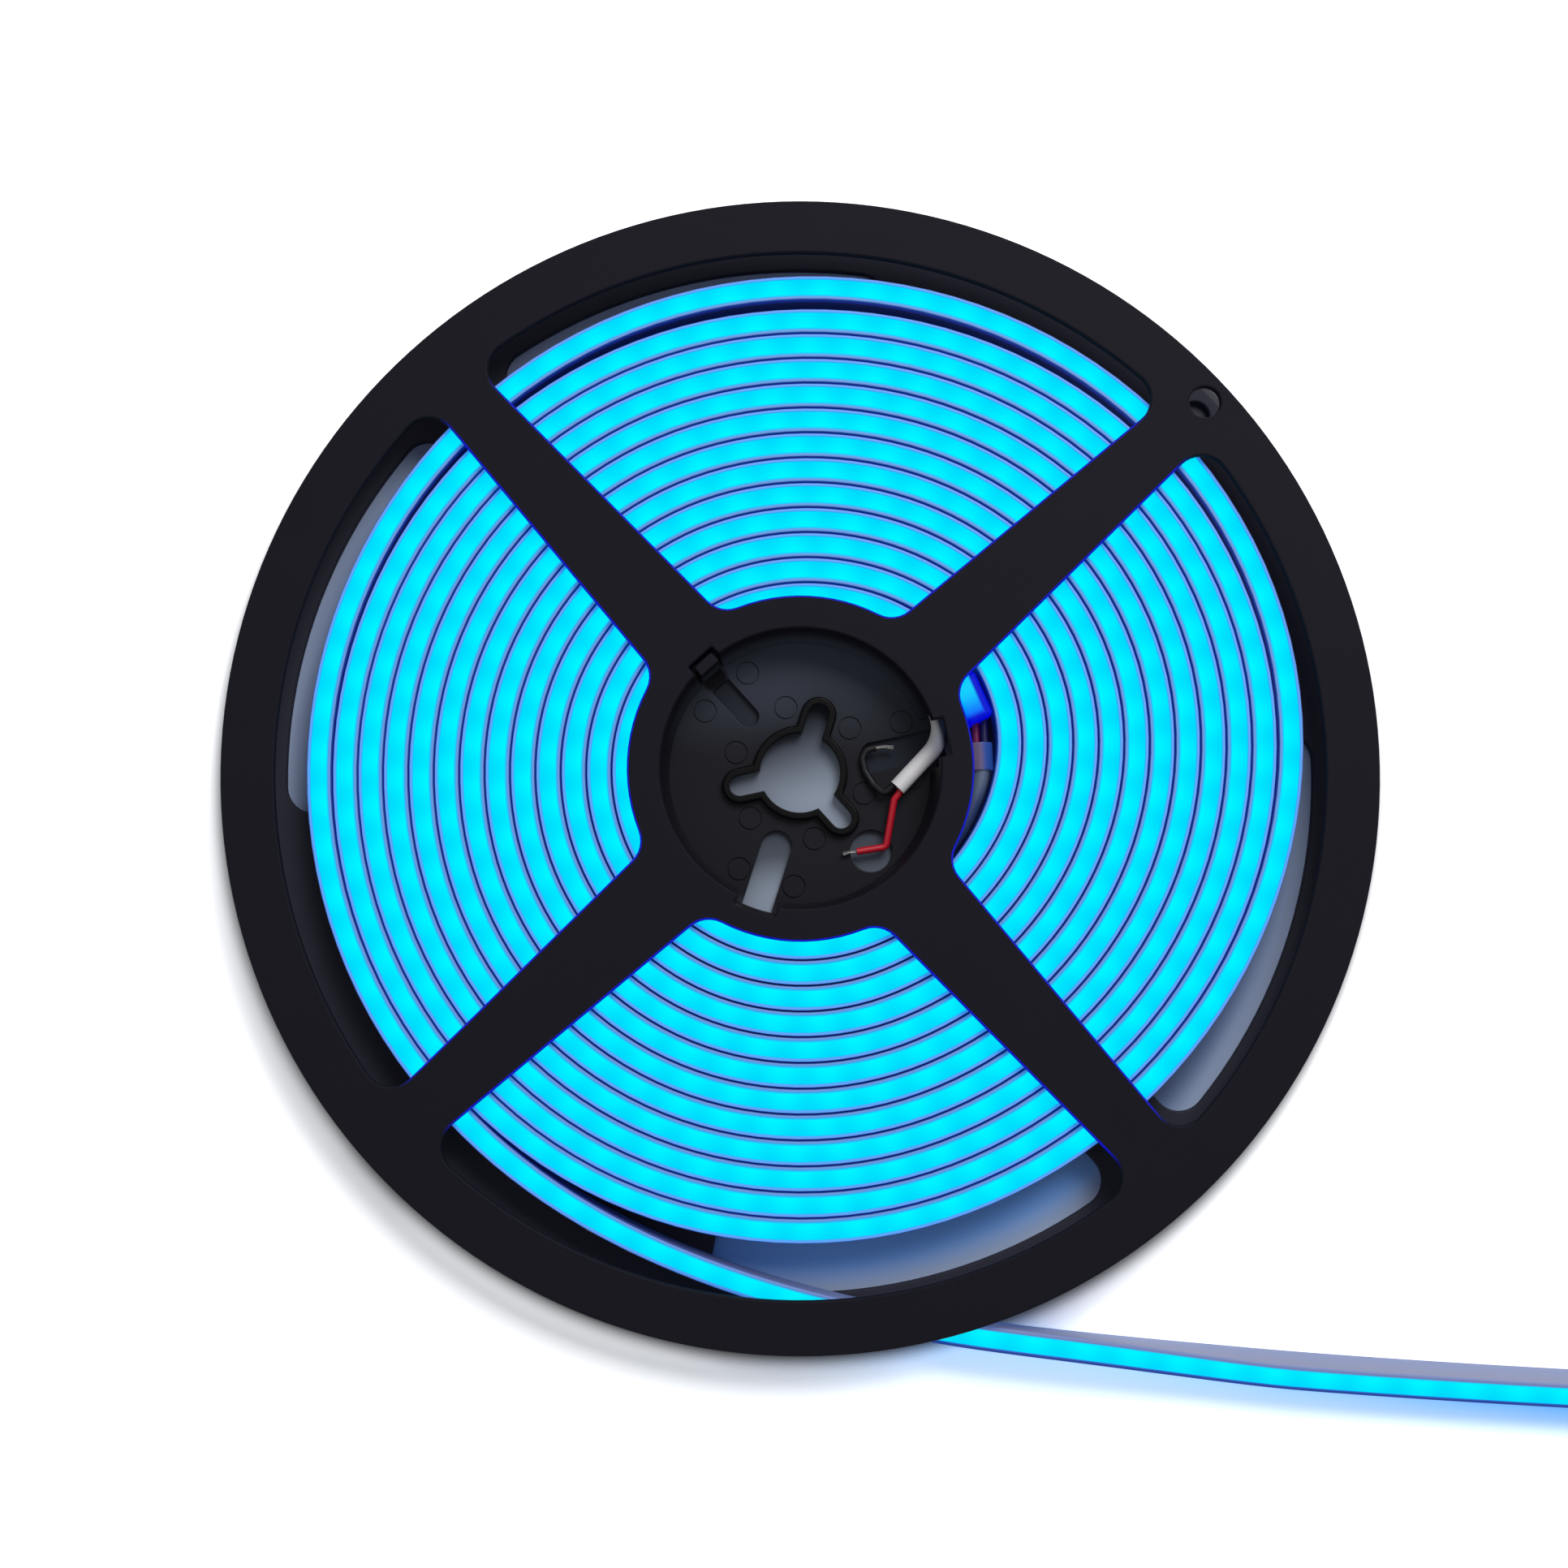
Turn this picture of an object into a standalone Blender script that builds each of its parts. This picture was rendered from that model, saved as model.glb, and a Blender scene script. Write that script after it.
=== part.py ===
# A reel of neon flex strip: two snap-together reel halves, about four and
# three quarter metres of silicone strip wound on edge between them, and the
# strip's two-core lead tucked into the well of the hub.
# Everything is drawn about the reel's axis, with the reel lying flat on z = 0,
# and is then moved so that the whole part stands over the origin.
import bpy
import bmesh
import math
from mathutils import Matrix, Vector

MM = 0.001
DEG = math.pi / 180

# Room left between pieces that touch on the real reel
SEAT_GAP = 0.3 * MM
FILL_GAP = 0.2 * MM

# How far a cutting shape reaches past what it cuts
OVERCUT = 2.0 * MM

# Flanges of the reel
REEL_RADIUS = 100.0 * MM
FLANGE_THICKNESS = 1.8 * MM
FLANGE_SPACING = 9.0 * MM
RIM_BAND = 9.3 * MM
HUB_BAND_RADIUS = 30.0 * MM
WINDOW_FILLET = 4.7 * MM
SPOKE_ANGLE = 42.2 * DEG
SPOKE_WIDTH_AT_HUB = 15.4 * MM
SPOKE_WIDTH_AT_RIM = 10.2 * MM
LOWER_SPOKE_WIDTH = 15.5 * MM
LABEL_HALF_ANGLE = 37.5 * DEG
RIM_HOLE_RADIUS = 2.7 * MM
RIM_HOLE_INSET = 4.6 * MM

# Well of the hub: the upper half's collar stands in a recess of the lower half
WELL_RADIUS = 24.3 * MM
COLLAR_FOOT_RADIUS = 23.1 * MM
COLLAR_WALL = 0.9 * MM
COLLAR_LAP = 0.02 * MM
FLOOR_THICKNESS = 1.2 * MM
NOTCH_DEPTH = 1.6 * MM
NOTCH_CUT_INWARDS = 4.9 * MM
NOTCH_WIDTHS = (6.6 * MM, 5.5 * MM, 7.3 * MM)
LEAD_WINDOW_WIDTH = 9.4 * MM
HUB_ANGLE = SPOKE_ANGLE - 30 * DEG

# Floor of the well
ARBOR_RADIUS = 7.1 * MM
KEY_WIDTH = 3.7 * MM
KEY_CENTRE_RADIUS = 10.85 * MM
ARBOR_RIM_WIDTH = 1.3 * MM
ARBOR_RIM_HEIGHT = 1.6 * MM
SLOT_START_RADIUS = 13.6 * MM
SLOT_WIDTH = 5.4 * MM
LATCH_SLOT_WIDTH = 3.7 * MM
LATCH_SLOT_END_RADIUS = 21.0 * MM
DRAIN_RADIUS = 3.7 * MM
DRAIN_CENTRE_RADIUS = 18.65 * MM

# Latch tongue that rises from the floor through one notch
TONGUE_WIDTH = 4.0 * MM
TONGUE_GAP = 0.2 * MM
TONGUE_THICKNESS = 0.9 * MM
TONGUE_HEAD = 1.1 * MM
TONGUE_HEAD_HEIGHT = 1.8 * MM

# Neon flex strip, standing on edge with its lit face up
STRIP_WIDTH = 4.2 * MM
STRIP_HEIGHT = 8.0 * MM
JACKET_WALL = 0.5 * MM
JACKET_FLOOR = 1.0 * MM
TAPE_THICKNESS = 0.4 * MM

# Winding: turns are round on their left side and climb a pitch on their right
TURN_GAP = 0.2 * MM
FIRST_TURN_RADIUS = 30.25 * MM
STEPS_PER_TURN = 24
START_ANGLE = 31.5 * DEG
LEAVE_ANGLE = 225 * DEG
FULL_TURNS = 12
QUIET_ANGLE = 100 * DEG
DRIFT = 0.75 * MM
DRIFT_END = 290 * DEG
CLIMB_END = 378 * DEG
BULGE = 2.75 * MM
BULGE_GROWTH = 0.045 * MM
BULGE_ANGLE = 388 * DEG
BULGE_SPREAD = 27 * DEG
BULGE_SPREAD_GROWTH = 0.5 * DEG
START_DIP = 0.5 * MM
START_DIP_SPREAD = 14 * DEG
SLACK = 1.5 * MM
SLACK_ANGLE = 88 * DEG
SLACK_SPREAD = 40 * DEG

# Tail of the strip, from the winding to its free end
TAIL_CROSSING = (40.7 * MM, -1.5 * MM)
TAIL_CROSSING_SLOPE = -0.115
TAIL_REACH = 150.0 * MM
TAIL_FALL = 8.2 * MM
TAIL_END_SLOPE = -0.05
TAIL_STEPS = 14
TAIL_LEAN = 12 * DEG
TAIL_DROP_START = 3.0 * MM
TAIL_DROP_LENGTH = 24.0 * MM
TAIL_LEAN_LENGTH = 32.0 * MM

# End caps
CAP_LENGTH = 8.6 * MM
CAP_WIDTH = 4.8 * MM
CAP_HEIGHT = 8.4 * MM
CAP_EDGE = 0.5 * MM
OUTER_CAP_LENGTH = 6.0 * MM

# Lead
LEAD_DIAMETER = 3.1 * MM
LEAD_SIDE_GAP = 0.2 * MM
LEAD_SLACK = 0.5 * MM
LEAD_HOMING = 60 * DEG
LEAD_HEADING = -88 * DEG
LEAD_STEP = 7.5 * DEG
CORE_DIAMETER = 1.25 * MM
CORE_SPACING = 1.5 * MM
CORE_STUB = 3.4 * MM
STRAND_DIAMETER = 0.7 * MM
SLEEVE_WALL = 0.35 * MM
SLEEVE_LENGTH = 4.8 * MM
LEAD_TURN_RADIUS = 6.6 * MM
LEAD_TURN_ANGLE = 23.5 * DEG
LEAD_END_HEADING = -133 * DEG
LEAD_RUN_IN_WELL = 8.4 * MM
CORE_BEND = 0.93 * MM
CORE_DIP = 0.3 * MM

# Free cores and their strands, as millimetres along and across from the sheath's end
RED_CORE_ROOT = (1.9, 1.0)
RED_CORE = ((8.9, 5.6), (13.0, 2.4))
RED_STRANDS = ((13.2, 2.2), (14.1, 1.4), (15.0, 0.9))
BLACK_CORE_ROOT = (2.35, -1.0)
BLACK_CORE_FALL = (2.3, -3.6)
BLACK_CORE = ((1.6, -6.2), (0.3, -8.1), (-1.2, -8.6), (-2.8, -7.7))
BLACK_STRANDS = ((-3.1, -7.4), (-4.05, -6.6), (-4.9, -5.4))

# Heights that follow from the sizes above
LOWER_TOP = FLANGE_THICKNESS
UPPER_UNDERSIDE = LOWER_TOP + FLANGE_SPACING
UPPER_TOP = UPPER_UNDERSIDE + FLANGE_THICKNESS
STRIP_FOOT = LOWER_TOP + SEAT_GAP
TURN_PITCH = STRIP_WIDTH + TURN_GAP
WINDOW_RADIUS = REEL_RADIUS - RIM_BAND
CAP_MIDDLE = STRIP_FOOT + CAP_HEIGHT / 2
LEAD_LOW = LOWER_TOP + SEAT_GAP + LEAD_DIAMETER / 2

# Colours, as linear red, green and blue
BLACK_PLASTIC = (0.014, 0.013, 0.016)
WHITE_SILICONE = (0.72, 0.74, 0.80)
LIT_CYAN = (0.0, 0.72, 1.0)
TAPE_WHITE = (0.80, 0.80, 0.78)
CAP_BLUE = (0.05, 0.32, 0.95)
SHEATH_WHITE = (0.62, 0.60, 0.60)
SLEEVE_GREY = (0.36, 0.38, 0.46)
CORE_RED = (0.50, 0.01, 0.03)
CORE_BLACK = (0.012, 0.011, 0.014)
TINNED = (0.70, 0.70, 0.72)

ARC_STEP = 5 * DEG
FILLET_STEP = 15 * DEG


def clear_scene():
    for item in list(bpy.data.objects):
        bpy.data.objects.remove(item, do_unlink=True)


def new_collection(name):
    group = bpy.data.collections.new(name)
    bpy.context.scene.collection.children.link(group)
    return group


def new_material(name, colour, roughness, metallic=0.0, glow=0.0):
    material = bpy.data.materials.new(name)
    material.use_nodes = True
    shader = material.node_tree.nodes["Principled BSDF"]
    shader.inputs["Base Color"].default_value = (*colour, 1)
    shader.inputs["Roughness"].default_value = roughness
    shader.inputs["Metallic"].default_value = metallic
    shader.inputs["Emission Color"].default_value = (*colour, 1)
    shader.inputs["Emission Strength"].default_value = glow
    material.diffuse_color = (*colour, 1)
    return material


def smoothstep(value):
    value = min(max(value, 0.0), 1.0)
    return value * value * (3 - 2 * value)


def hump(angle, middle, spread):
    return math.exp(-((angle - middle) / spread) ** 2 / 2)


def on_circle(radius, angle, centre=(0, 0)):
    return Vector((centre[0] + radius * math.cos(angle), centre[1] + radius * math.sin(angle)))


def arc(radius, start, end, centre=(0, 0), step=ARC_STEP):
    """Points along an arc, both ends included."""
    count = max(1, round(abs(end - start) / step))
    return [on_circle(radius, start + (end - start) * i / count, centre) for i in range(count + 1)]


def circle(radius, centre=(0, 0), step=ARC_STEP):
    return arc(radius, 0, 2 * math.pi, centre, step)[:-1]


def turned(points, angle):
    turn = Matrix.Rotation(angle, 2)
    return [turn @ Vector(p) for p in points]


def fillet_centre(edge_point, edge_direction, inward, radius_to_meet, fillet):
    """Centre of a fillet that touches a straight edge and a circle about the axis."""
    start = edge_point + inward * fillet
    along = start.dot(edge_direction)
    reach = along * along - start.dot(start) + radius_to_meet ** 2
    return start + edge_direction * (math.sqrt(reach) - along)


def window_outline(first_spoke, first_widths, last_spoke, last_widths):
    """A window between two spokes, each given by its angle and its widths at hub and rim."""
    sides = []
    for spoke, widths, hand in ((first_spoke, first_widths, 1), (last_spoke, last_widths, -1)):
        near = turned([(HUB_BAND_RADIUS, hand * widths[0] / 2)], spoke)[0]
        far = turned([(WINDOW_RADIUS, hand * widths[1] / 2)], spoke)[0]
        direction = (far - near).normalized()
        inward = Vector((-direction.y, direction.x)) * hand
        outer = fillet_centre(near, direction, inward, WINDOW_RADIUS - WINDOW_FILLET, WINDOW_FILLET)
        inner = fillet_centre(near, direction, inward, HUB_BAND_RADIUS + WINDOW_FILLET, WINDOW_FILLET)
        sides.append((inward, outer, inner))

    def heading(vector):
        return math.atan2(vector.y, vector.x)

    def corner(centre, start, end):
        sweep = (end - start + math.pi) % (2 * math.pi) - math.pi
        return arc(WINDOW_FILLET, start, start + sweep, centre, FILLET_STEP)

    (inward_a, outer_a, inner_a), (inward_b, outer_b, inner_b) = sides
    start, end = heading(outer_a), heading(outer_b)
    end += 2 * math.pi if end < start else 0
    points = corner(outer_a, heading(-inward_a), start)
    points += arc(WINDOW_RADIUS, start, end)[1:-1]
    points += corner(outer_b, end, heading(-inward_b))
    points += corner(inner_b, heading(-inward_b), heading(-inner_b))
    start, end = heading(inner_b), heading(inner_a)
    start += 2 * math.pi if start < end else 0
    points += arc(HUB_BAND_RADIUS, start, end)[1:-1]
    points += corner(inner_a, heading(-inner_a), heading(-inward_a))
    return points


def slot_outline(start_radius, end_radius, width, angle):
    """A slot with a round inner end and a square outer end."""
    half = width / 2
    tip = arc(half, 90 * DEG, 270 * DEG, (start_radius, 0), FILLET_STEP)
    return turned(tip + [Vector((end_radius, -half)), Vector((end_radius, half))], angle)


def box_outline(start_radius, end_radius, width, angle):
    half = width / 2
    corners = [(start_radius, -half), (end_radius, -half), (end_radius, half), (start_radius, half)]
    return turned(corners, angle)


def keyed_outline(margin):
    """The arbor hole's outline, a circle with three round-ended keyways, grown by a margin."""
    radius = ARBOR_RADIUS + margin
    half = KEY_WIDTH / 2 + margin
    mouth = math.asin(half / radius)
    points = []
    for key in range(3):
        angle = HUB_ANGLE + (60 + 120 * key) * DEG
        points += turned(arc(half, -90 * DEG, 90 * DEG, (KEY_CENTRE_RADIUS, 0), FILLET_STEP), angle)
        points += arc(radius, angle + mouth, angle + 120 * DEG - mouth, step=10 * DEG)
    return points


def to_mesh(item, name, group, material=None):
    """Turn a curve object into a welded mesh object in the same place."""
    bpy.context.view_layer.update()
    graph = bpy.context.evaluated_depsgraph_get()
    mesh = bpy.data.meshes.new_from_object(item.evaluated_get(graph))
    mesh.transform(item.matrix_world)
    bpy.data.objects.remove(item, do_unlink=True)
    work = bmesh.new()
    work.from_mesh(mesh)
    bmesh.ops.remove_doubles(work, verts=work.verts, dist=1e-6)
    bmesh.ops.recalc_face_normals(work, faces=work.faces)
    work.to_mesh(mesh)
    work.free()
    mesh.materials.clear()
    if material:
        mesh.materials.append(material)
    result = bpy.data.objects.new(name, mesh)
    group.objects.link(result)
    return result


def plate(name, group, outlines, low, high, material=None):
    """A flat plate between two heights, from an outline and the outlines of its holes."""
    curve = bpy.data.curves.new(name, "CURVE")
    curve.dimensions = "2D"
    curve.fill_mode = "BOTH"
    curve.extrude = (high - low) / 2
    for outline in outlines:
        spline = curve.splines.new("POLY")
        spline.points.add(len(outline) - 1)
        for point, place in zip(spline.points, outline):
            point.co = (place[0], place[1], 0, 1)
        spline.use_cyclic_u = True
    item = bpy.data.objects.new(name, curve)
    item.location.z = (low + high) / 2
    group.objects.link(item)
    return to_mesh(item, name, group, material)


def boolean(target, cutter, operation):
    modifier = target.modifiers.new(cutter.name, "BOOLEAN")
    modifier.operation = operation
    modifier.solver = "EXACT"
    modifier.object = cutter
    cutter.hide_render = True
    cutter.display_type = "WIRE"


def shade(item, angle=35 * DEG):
    item.data.shade_smooth()
    item.data.set_sharp_from_angle(angle=angle)


def turned_ring(name, group, profile, steps=72):
    """A ring turned about the axis from a closed profile of radius and height."""
    mesh = bpy.data.meshes.new(name)
    count = len(profile)
    mesh.from_pydata([(r, 0, z) for r, z in profile], [(i, (i + 1) % count) for i in range(count)], [])
    item = bpy.data.objects.new(name, mesh)
    group.objects.link(item)
    screw = item.modifiers.new("turn", "SCREW")
    screw.steps = screw.render_steps = steps
    screw.use_merge_vertices = True
    screw.merge_threshold = 1e-6
    screw.use_normal_calculate = True
    return to_mesh(item, name, group)


def upper_half(parts, cutters, material):
    """Upper flange with four even windows, and the collar that lines the well."""
    widths = (SPOKE_WIDTH_AT_HUB, SPOKE_WIDTH_AT_RIM)
    outlines = [circle(REEL_RADIUS), circle(WELL_RADIUS)]
    for quarter in range(4):
        spoke = SPOKE_ANGLE + quarter * 90 * DEG
        outlines.append(window_outline(spoke, widths, spoke + 90 * DEG, widths))
    outlines.append(rim_hole())
    half = plate("reel_upper_half", parts, outlines, UPPER_UNDERSIDE, UPPER_TOP, material)

    foot = FLOOR_THICKNESS + SEAT_GAP
    sink = FLANGE_THICKNESS / 2
    collar = turned_ring("collar", cutters, [
        (WELL_RADIUS + COLLAR_WALL, UPPER_UNDERSIDE + sink),
        (COLLAR_FOOT_RADIUS + COLLAR_WALL, foot),
        (COLLAR_FOOT_RADIUS, foot),
        (WELL_RADIUS - COLLAR_LAP, UPPER_UNDERSIDE + sink)])
    boolean(half, collar, "UNION")

    inwards, outwards = WELL_RADIUS - NOTCH_CUT_INWARDS, WELL_RADIUS + NOTCH_DEPTH
    for number, width in enumerate(NOTCH_WIDTHS):
        angle = HUB_ANGLE + number * 120 * DEG
        outline = box_outline(inwards, outwards, width, angle)
        notch = plate("notch_%d" % (number + 1), cutters, [outline], 0, UPPER_TOP + OVERCUT)
        boolean(half, notch, "DIFFERENCE")
    outline = box_outline(inwards, outwards, LEAD_WINDOW_WIDTH, HUB_ANGLE)
    window = plate("lead_window", cutters, [outline], 0, UPPER_UNDERSIDE - SEAT_GAP)
    boolean(half, window, "DIFFERENCE")
    shade(half)
    return half


def rim_hole():
    centre = on_circle(REEL_RADIUS - RIM_HOLE_INSET, SPOKE_ANGLE)
    return circle(RIM_HOLE_RADIUS, centre, 24 * DEG)


def lower_half(parts, cutters, material):
    """Lower flange with two solid label fields, the well's floor, the arbor rim and a latch tongue."""
    narrow = (LOWER_SPOKE_WIDTH, LOWER_SPOKE_WIDTH)
    edge = (0, 0)
    outlines = [circle(REEL_RADIUS), rim_hole()]
    for side in (0, 180 * DEG):
        label = SPOKE_ANGLE + side
        spoke = label + 90 * DEG
        outlines.append(window_outline(label + LABEL_HALF_ANGLE, edge, spoke, narrow))
        outlines.append(window_outline(spoke, narrow, spoke + 90 * DEG - LABEL_HALF_ANGLE, edge))
    half = plate("reel_lower_half", parts, outlines, 0, FLANGE_THICKNESS, material)

    recess_radius = COLLAR_FOOT_RADIUS + COLLAR_WALL + 2 * SEAT_GAP
    recess = plate("well_recess", cutters, [circle(recess_radius)], FLOOR_THICKNESS, LOWER_TOP + OVERCUT)
    boolean(half, recess, "DIFFERENCE")

    rim_top = FLOOR_THICKNESS + ARBOR_RIM_HEIGHT
    rim = plate("arbor_rim", cutters, [keyed_outline(ARBOR_RIM_WIDTH)], FLOOR_THICKNESS / 2, rim_top)
    boolean(half, rim, "UNION")
    boolean(half, latch_tongue(cutters), "UNION")

    through = (-OVERCUT, LOWER_TOP + OVERCUT)
    slot_end = WELL_RADIUS + NOTCH_DEPTH
    ends = ((SLOT_WIDTH, slot_end), (LATCH_SLOT_WIDTH, LATCH_SLOT_END_RADIUS), (SLOT_WIDTH, slot_end))
    for number, (width, end) in enumerate(ends):
        outline = slot_outline(SLOT_START_RADIUS, end, width, HUB_ANGLE + number * 120 * DEG)
        slot = plate("floor_slot_%d" % (number + 1), cutters, [outline], *through)
        boolean(half, slot, "DIFFERENCE")
    centre = on_circle(DRAIN_CENTRE_RADIUS, SPOKE_ANGLE + 270 * DEG)
    drain = plate("floor_hole", cutters, [circle(DRAIN_RADIUS, centre, 15 * DEG)], *through)
    boolean(half, drain, "DIFFERENCE")
    arbor = plate("arbor_hole", cutters, [keyed_outline(0)], -OVERCUT, rim_top + OVERCUT)
    boolean(half, arbor, "DIFFERENCE")
    shade(half)
    return half


def latch_tongue(cutters):
    """The tongue's side outline, given its width and stood up in the second notch."""
    root = COLLAR_FOOT_RADIUS + TONGUE_GAP
    back = root + TONGUE_THICKNESS
    top = UPPER_TOP - SEAT_GAP
    outline = [(root, FLOOR_THICKNESS / 2), (back, FLOOR_THICKNESS / 2),
               (back, top - 2 * TONGUE_HEAD_HEIGHT), (back + TONGUE_HEAD, top - TONGUE_HEAD_HEIGHT),
               (back + TONGUE_HEAD, top), (root, top)]
    half = TONGUE_WIDTH / 2
    item = plate("latch_tongue", cutters, [outline], -half, half)
    stand = Matrix.Rotation(HUB_ANGLE + 120 * DEG, 4, "Z") @ Matrix.Rotation(90 * DEG, 4, "X")
    item.data.transform(stand)
    return item


def turn_radius(angle):
    """Radius of the strip's middle at an angle counted on through all its turns."""
    turns, local = divmod(angle - QUIET_ANGLE, 2 * math.pi)
    local += QUIET_ANGLE
    climbed = DRIFT * min((local - QUIET_ANGLE) / (DRIFT_END - QUIET_ANGLE), 1)
    climbed += (TURN_PITCH - DRIFT) * smoothstep((local - DRIFT_END) / (CLIMB_END - DRIFT_END))
    wound = angle / (2 * math.pi)
    height = BULGE + BULGE_GROWTH * wound
    spread = BULGE_SPREAD + BULGE_SPREAD_GROWTH * wound
    bulge = height * sum(hump(local, BULGE_ANGLE + offset, spread) for offset in (-2 * math.pi, 0))
    dip = START_DIP * hump(angle, START_ANGLE, START_DIP_SPREAD)
    slack = SLACK * hump(angle, FULL_TURNS * 2 * math.pi + SLACK_ANGLE, SLACK_SPREAD)
    return FIRST_TURN_RADIUS + turns * TURN_PITCH + climbed + bulge - dip + slack


def bezier(start, start_handle, end_handle, end, t):
    s = 1 - t
    return start * s ** 3 + start_handle * 3 * s * s * t + end_handle * 3 * s * t * t + end * t ** 3


def coil_stations():
    """Middle of the strip's foot at each step of the winding."""
    step = 2 * math.pi / STEPS_PER_TURN
    first = math.ceil(START_ANGLE / step)
    last = math.floor((FULL_TURNS * 2 * math.pi + LEAVE_ANGLE) / step)
    angles = [START_ANGLE, START_ANGLE + step / 6]
    angles += [i * step for i in range(first, last + 1) if i * step > START_ANGLE + step / 3]
    return [Vector((*on_circle(turn_radius(a), a), STRIP_FOOT)) for a in angles]


def tail_stations(coil):
    """Stations of the tail, which crosses the rim, drops to the ground and leans outwards."""
    leave = (coil[-1] - coil[-2]).normalized()
    start = coil[-1]
    crossing = Vector((TAIL_CROSSING[0], -REEL_RADIUS - TAIL_CROSSING[1], STRIP_FOOT))
    end = Vector((TAIL_REACH, crossing.y - TAIL_FALL, STRIP_FOOT))
    stations = []
    across = Vector((1, TAIL_CROSSING_SLOPE, 0)).normalized()
    away = Vector((1, TAIL_END_SLOPE, 0)).normalized()
    for first, first_way, last, last_way in ((start, leave, crossing, across), (crossing, across, end, away)):
        third = (last - first).length / 3
        for i in range(1, TAIL_STEPS + 1):
            t = i / TAIL_STEPS
            stations.append(bezier(first, first + first_way * third, last - last_way * third, last, t))
    return stations


def tail_drop(place):
    """How far the strip has come down to the ground, and how far it has leaned, beyond the rim."""
    beyond = Vector((place.x, place.y)).length - REEL_RADIUS - TAIL_DROP_START
    return smoothstep(beyond / TAIL_DROP_LENGTH), TAIL_LEAN * smoothstep(beyond / TAIL_LEAN_LENGTH)


def strip_route():
    """Every station of the strip as its foot's middle and its lean."""
    coil = coil_stations()
    route = []
    for place in coil + tail_stations(coil):
        drop, lean = tail_drop(place)
        lift = STRIP_WIDTH / 2 * math.sin(lean)
        place.z = STRIP_FOOT * (1 - drop) + lift
        route.append((place, lean))
    return route


def sweep(name, parts, cutters, route, section, material):
    """A section carried upright along a route, leaning where the route says."""
    profile = bpy.data.curves.new(name + "_section", "CURVE")
    profile.dimensions = "2D"
    spline = profile.splines.new("POLY")
    spline.points.add(len(section) - 1)
    for point, (across, up) in zip(spline.points, reversed(section)):
        point.co = (across, up, 0, 1)
    spline.use_cyclic_u = True
    guide = bpy.data.objects.new(name + "_section", profile)
    cutters.objects.link(guide)
    guide.hide_render = True
    guide.display_type = "WIRE"

    curve = bpy.data.curves.new(name, "CURVE")
    curve.dimensions = "3D"
    curve.twist_mode = "Z_UP"
    curve.bevel_mode = "OBJECT"
    curve.bevel_object = guide
    curve.use_fill_caps = True
    spline = curve.splines.new("POLY")
    spline.points.add(len(route) - 1)
    for point, (place, lean) in zip(spline.points, route):
        point.co = (*place, 1)
        point.tilt = lean
    curve.materials.append(material)
    item = bpy.data.objects.new(name, curve)
    parts.objects.link(item)
    return item


def strip(parts, cutters, route, materials):
    """The jacket's channel, the tape on its floor and the milky filling above it."""
    half = STRIP_WIDTH / 2
    inner = half - JACKET_WALL
    jacket = [(-half, 0), (half, 0), (half, STRIP_HEIGHT), (inner, STRIP_HEIGHT),
              (inner, JACKET_FLOOR), (-inner, JACKET_FLOOR), (-inner, STRIP_HEIGHT), (-half, STRIP_HEIGHT)]
    sweep("silicone_jacket", parts, cutters, route, jacket, materials["jacket"])

    side = inner - FILL_GAP
    tape_low = JACKET_FLOOR + FILL_GAP
    tape_top = tape_low + TAPE_THICKNESS
    sweep("led_tape", parts, cutters, route, oblong(side, tape_low, tape_top), materials["tape"])
    diffuser = oblong(side, tape_top + FILL_GAP, STRIP_HEIGHT)
    sweep("light_diffuser", parts, cutters, route, diffuser, materials["diffuser"])


def oblong(half, low, high):
    return [(-half, low), (half, low), (half, high), (-half, high)]


def end_cap(name, parts, place, heading, lean, size, material):
    """A moulded block with rounded edges, its middle at a place and its length along a heading."""
    work = bmesh.new()
    bmesh.ops.create_cube(work, size=1, matrix=Matrix.Diagonal((*size, 1)))
    mesh = bpy.data.meshes.new(name)
    work.to_mesh(mesh)
    work.free()
    mesh.materials.append(material)
    item = bpy.data.objects.new(name, mesh)
    parts.objects.link(item)
    bevel = item.modifiers.new("rounded edges", "BEVEL")
    bevel.width = CAP_EDGE
    bevel.segments = 2
    item.location = place
    item.rotation_euler = (lean, 0, heading)
    shade(item)
    return item


def inner_cap(parts, route, material):
    """The cap on the strip's inner end, butted against it."""
    start = route[0][0]
    half_turned = CAP_LENGTH / 2 / turn_radius(START_ANGLE)
    back = Vector((*on_circle(1, START_ANGLE - 90 * DEG - half_turned), 0))
    seat = SEAT_GAP + CAP_WIDTH / 2 * math.sin(half_turned)
    middle = Vector((start.x, start.y, CAP_MIDDLE)) + back * (seat + CAP_LENGTH / 2)
    end_cap("inner_end_cap", parts, middle, math.atan2(back.y, back.x), 0,
            (CAP_LENGTH, CAP_WIDTH, CAP_HEIGHT), material)
    return middle + back * CAP_LENGTH / 2, back


def outer_cap(parts, route, material):
    """The plain cap on the free end of the tail."""
    (before, _), (end, lean) = route[-2:]
    way = (end - before)
    way.z = 0
    way.normalize()
    turn = Matrix.Rotation(math.atan2(way.y, way.x), 3, "Z") @ Matrix.Rotation(lean, 3, "X")
    middle = end + way * (SEAT_GAP + OUTER_CAP_LENGTH / 2) + turn @ Vector((0, 0, STRIP_HEIGHT / 2))
    end_cap("outer_end_cap", parts, middle, math.atan2(way.y, way.x), lean,
            (OUTER_CAP_LENGTH, STRIP_WIDTH, STRIP_HEIGHT), material)


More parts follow.
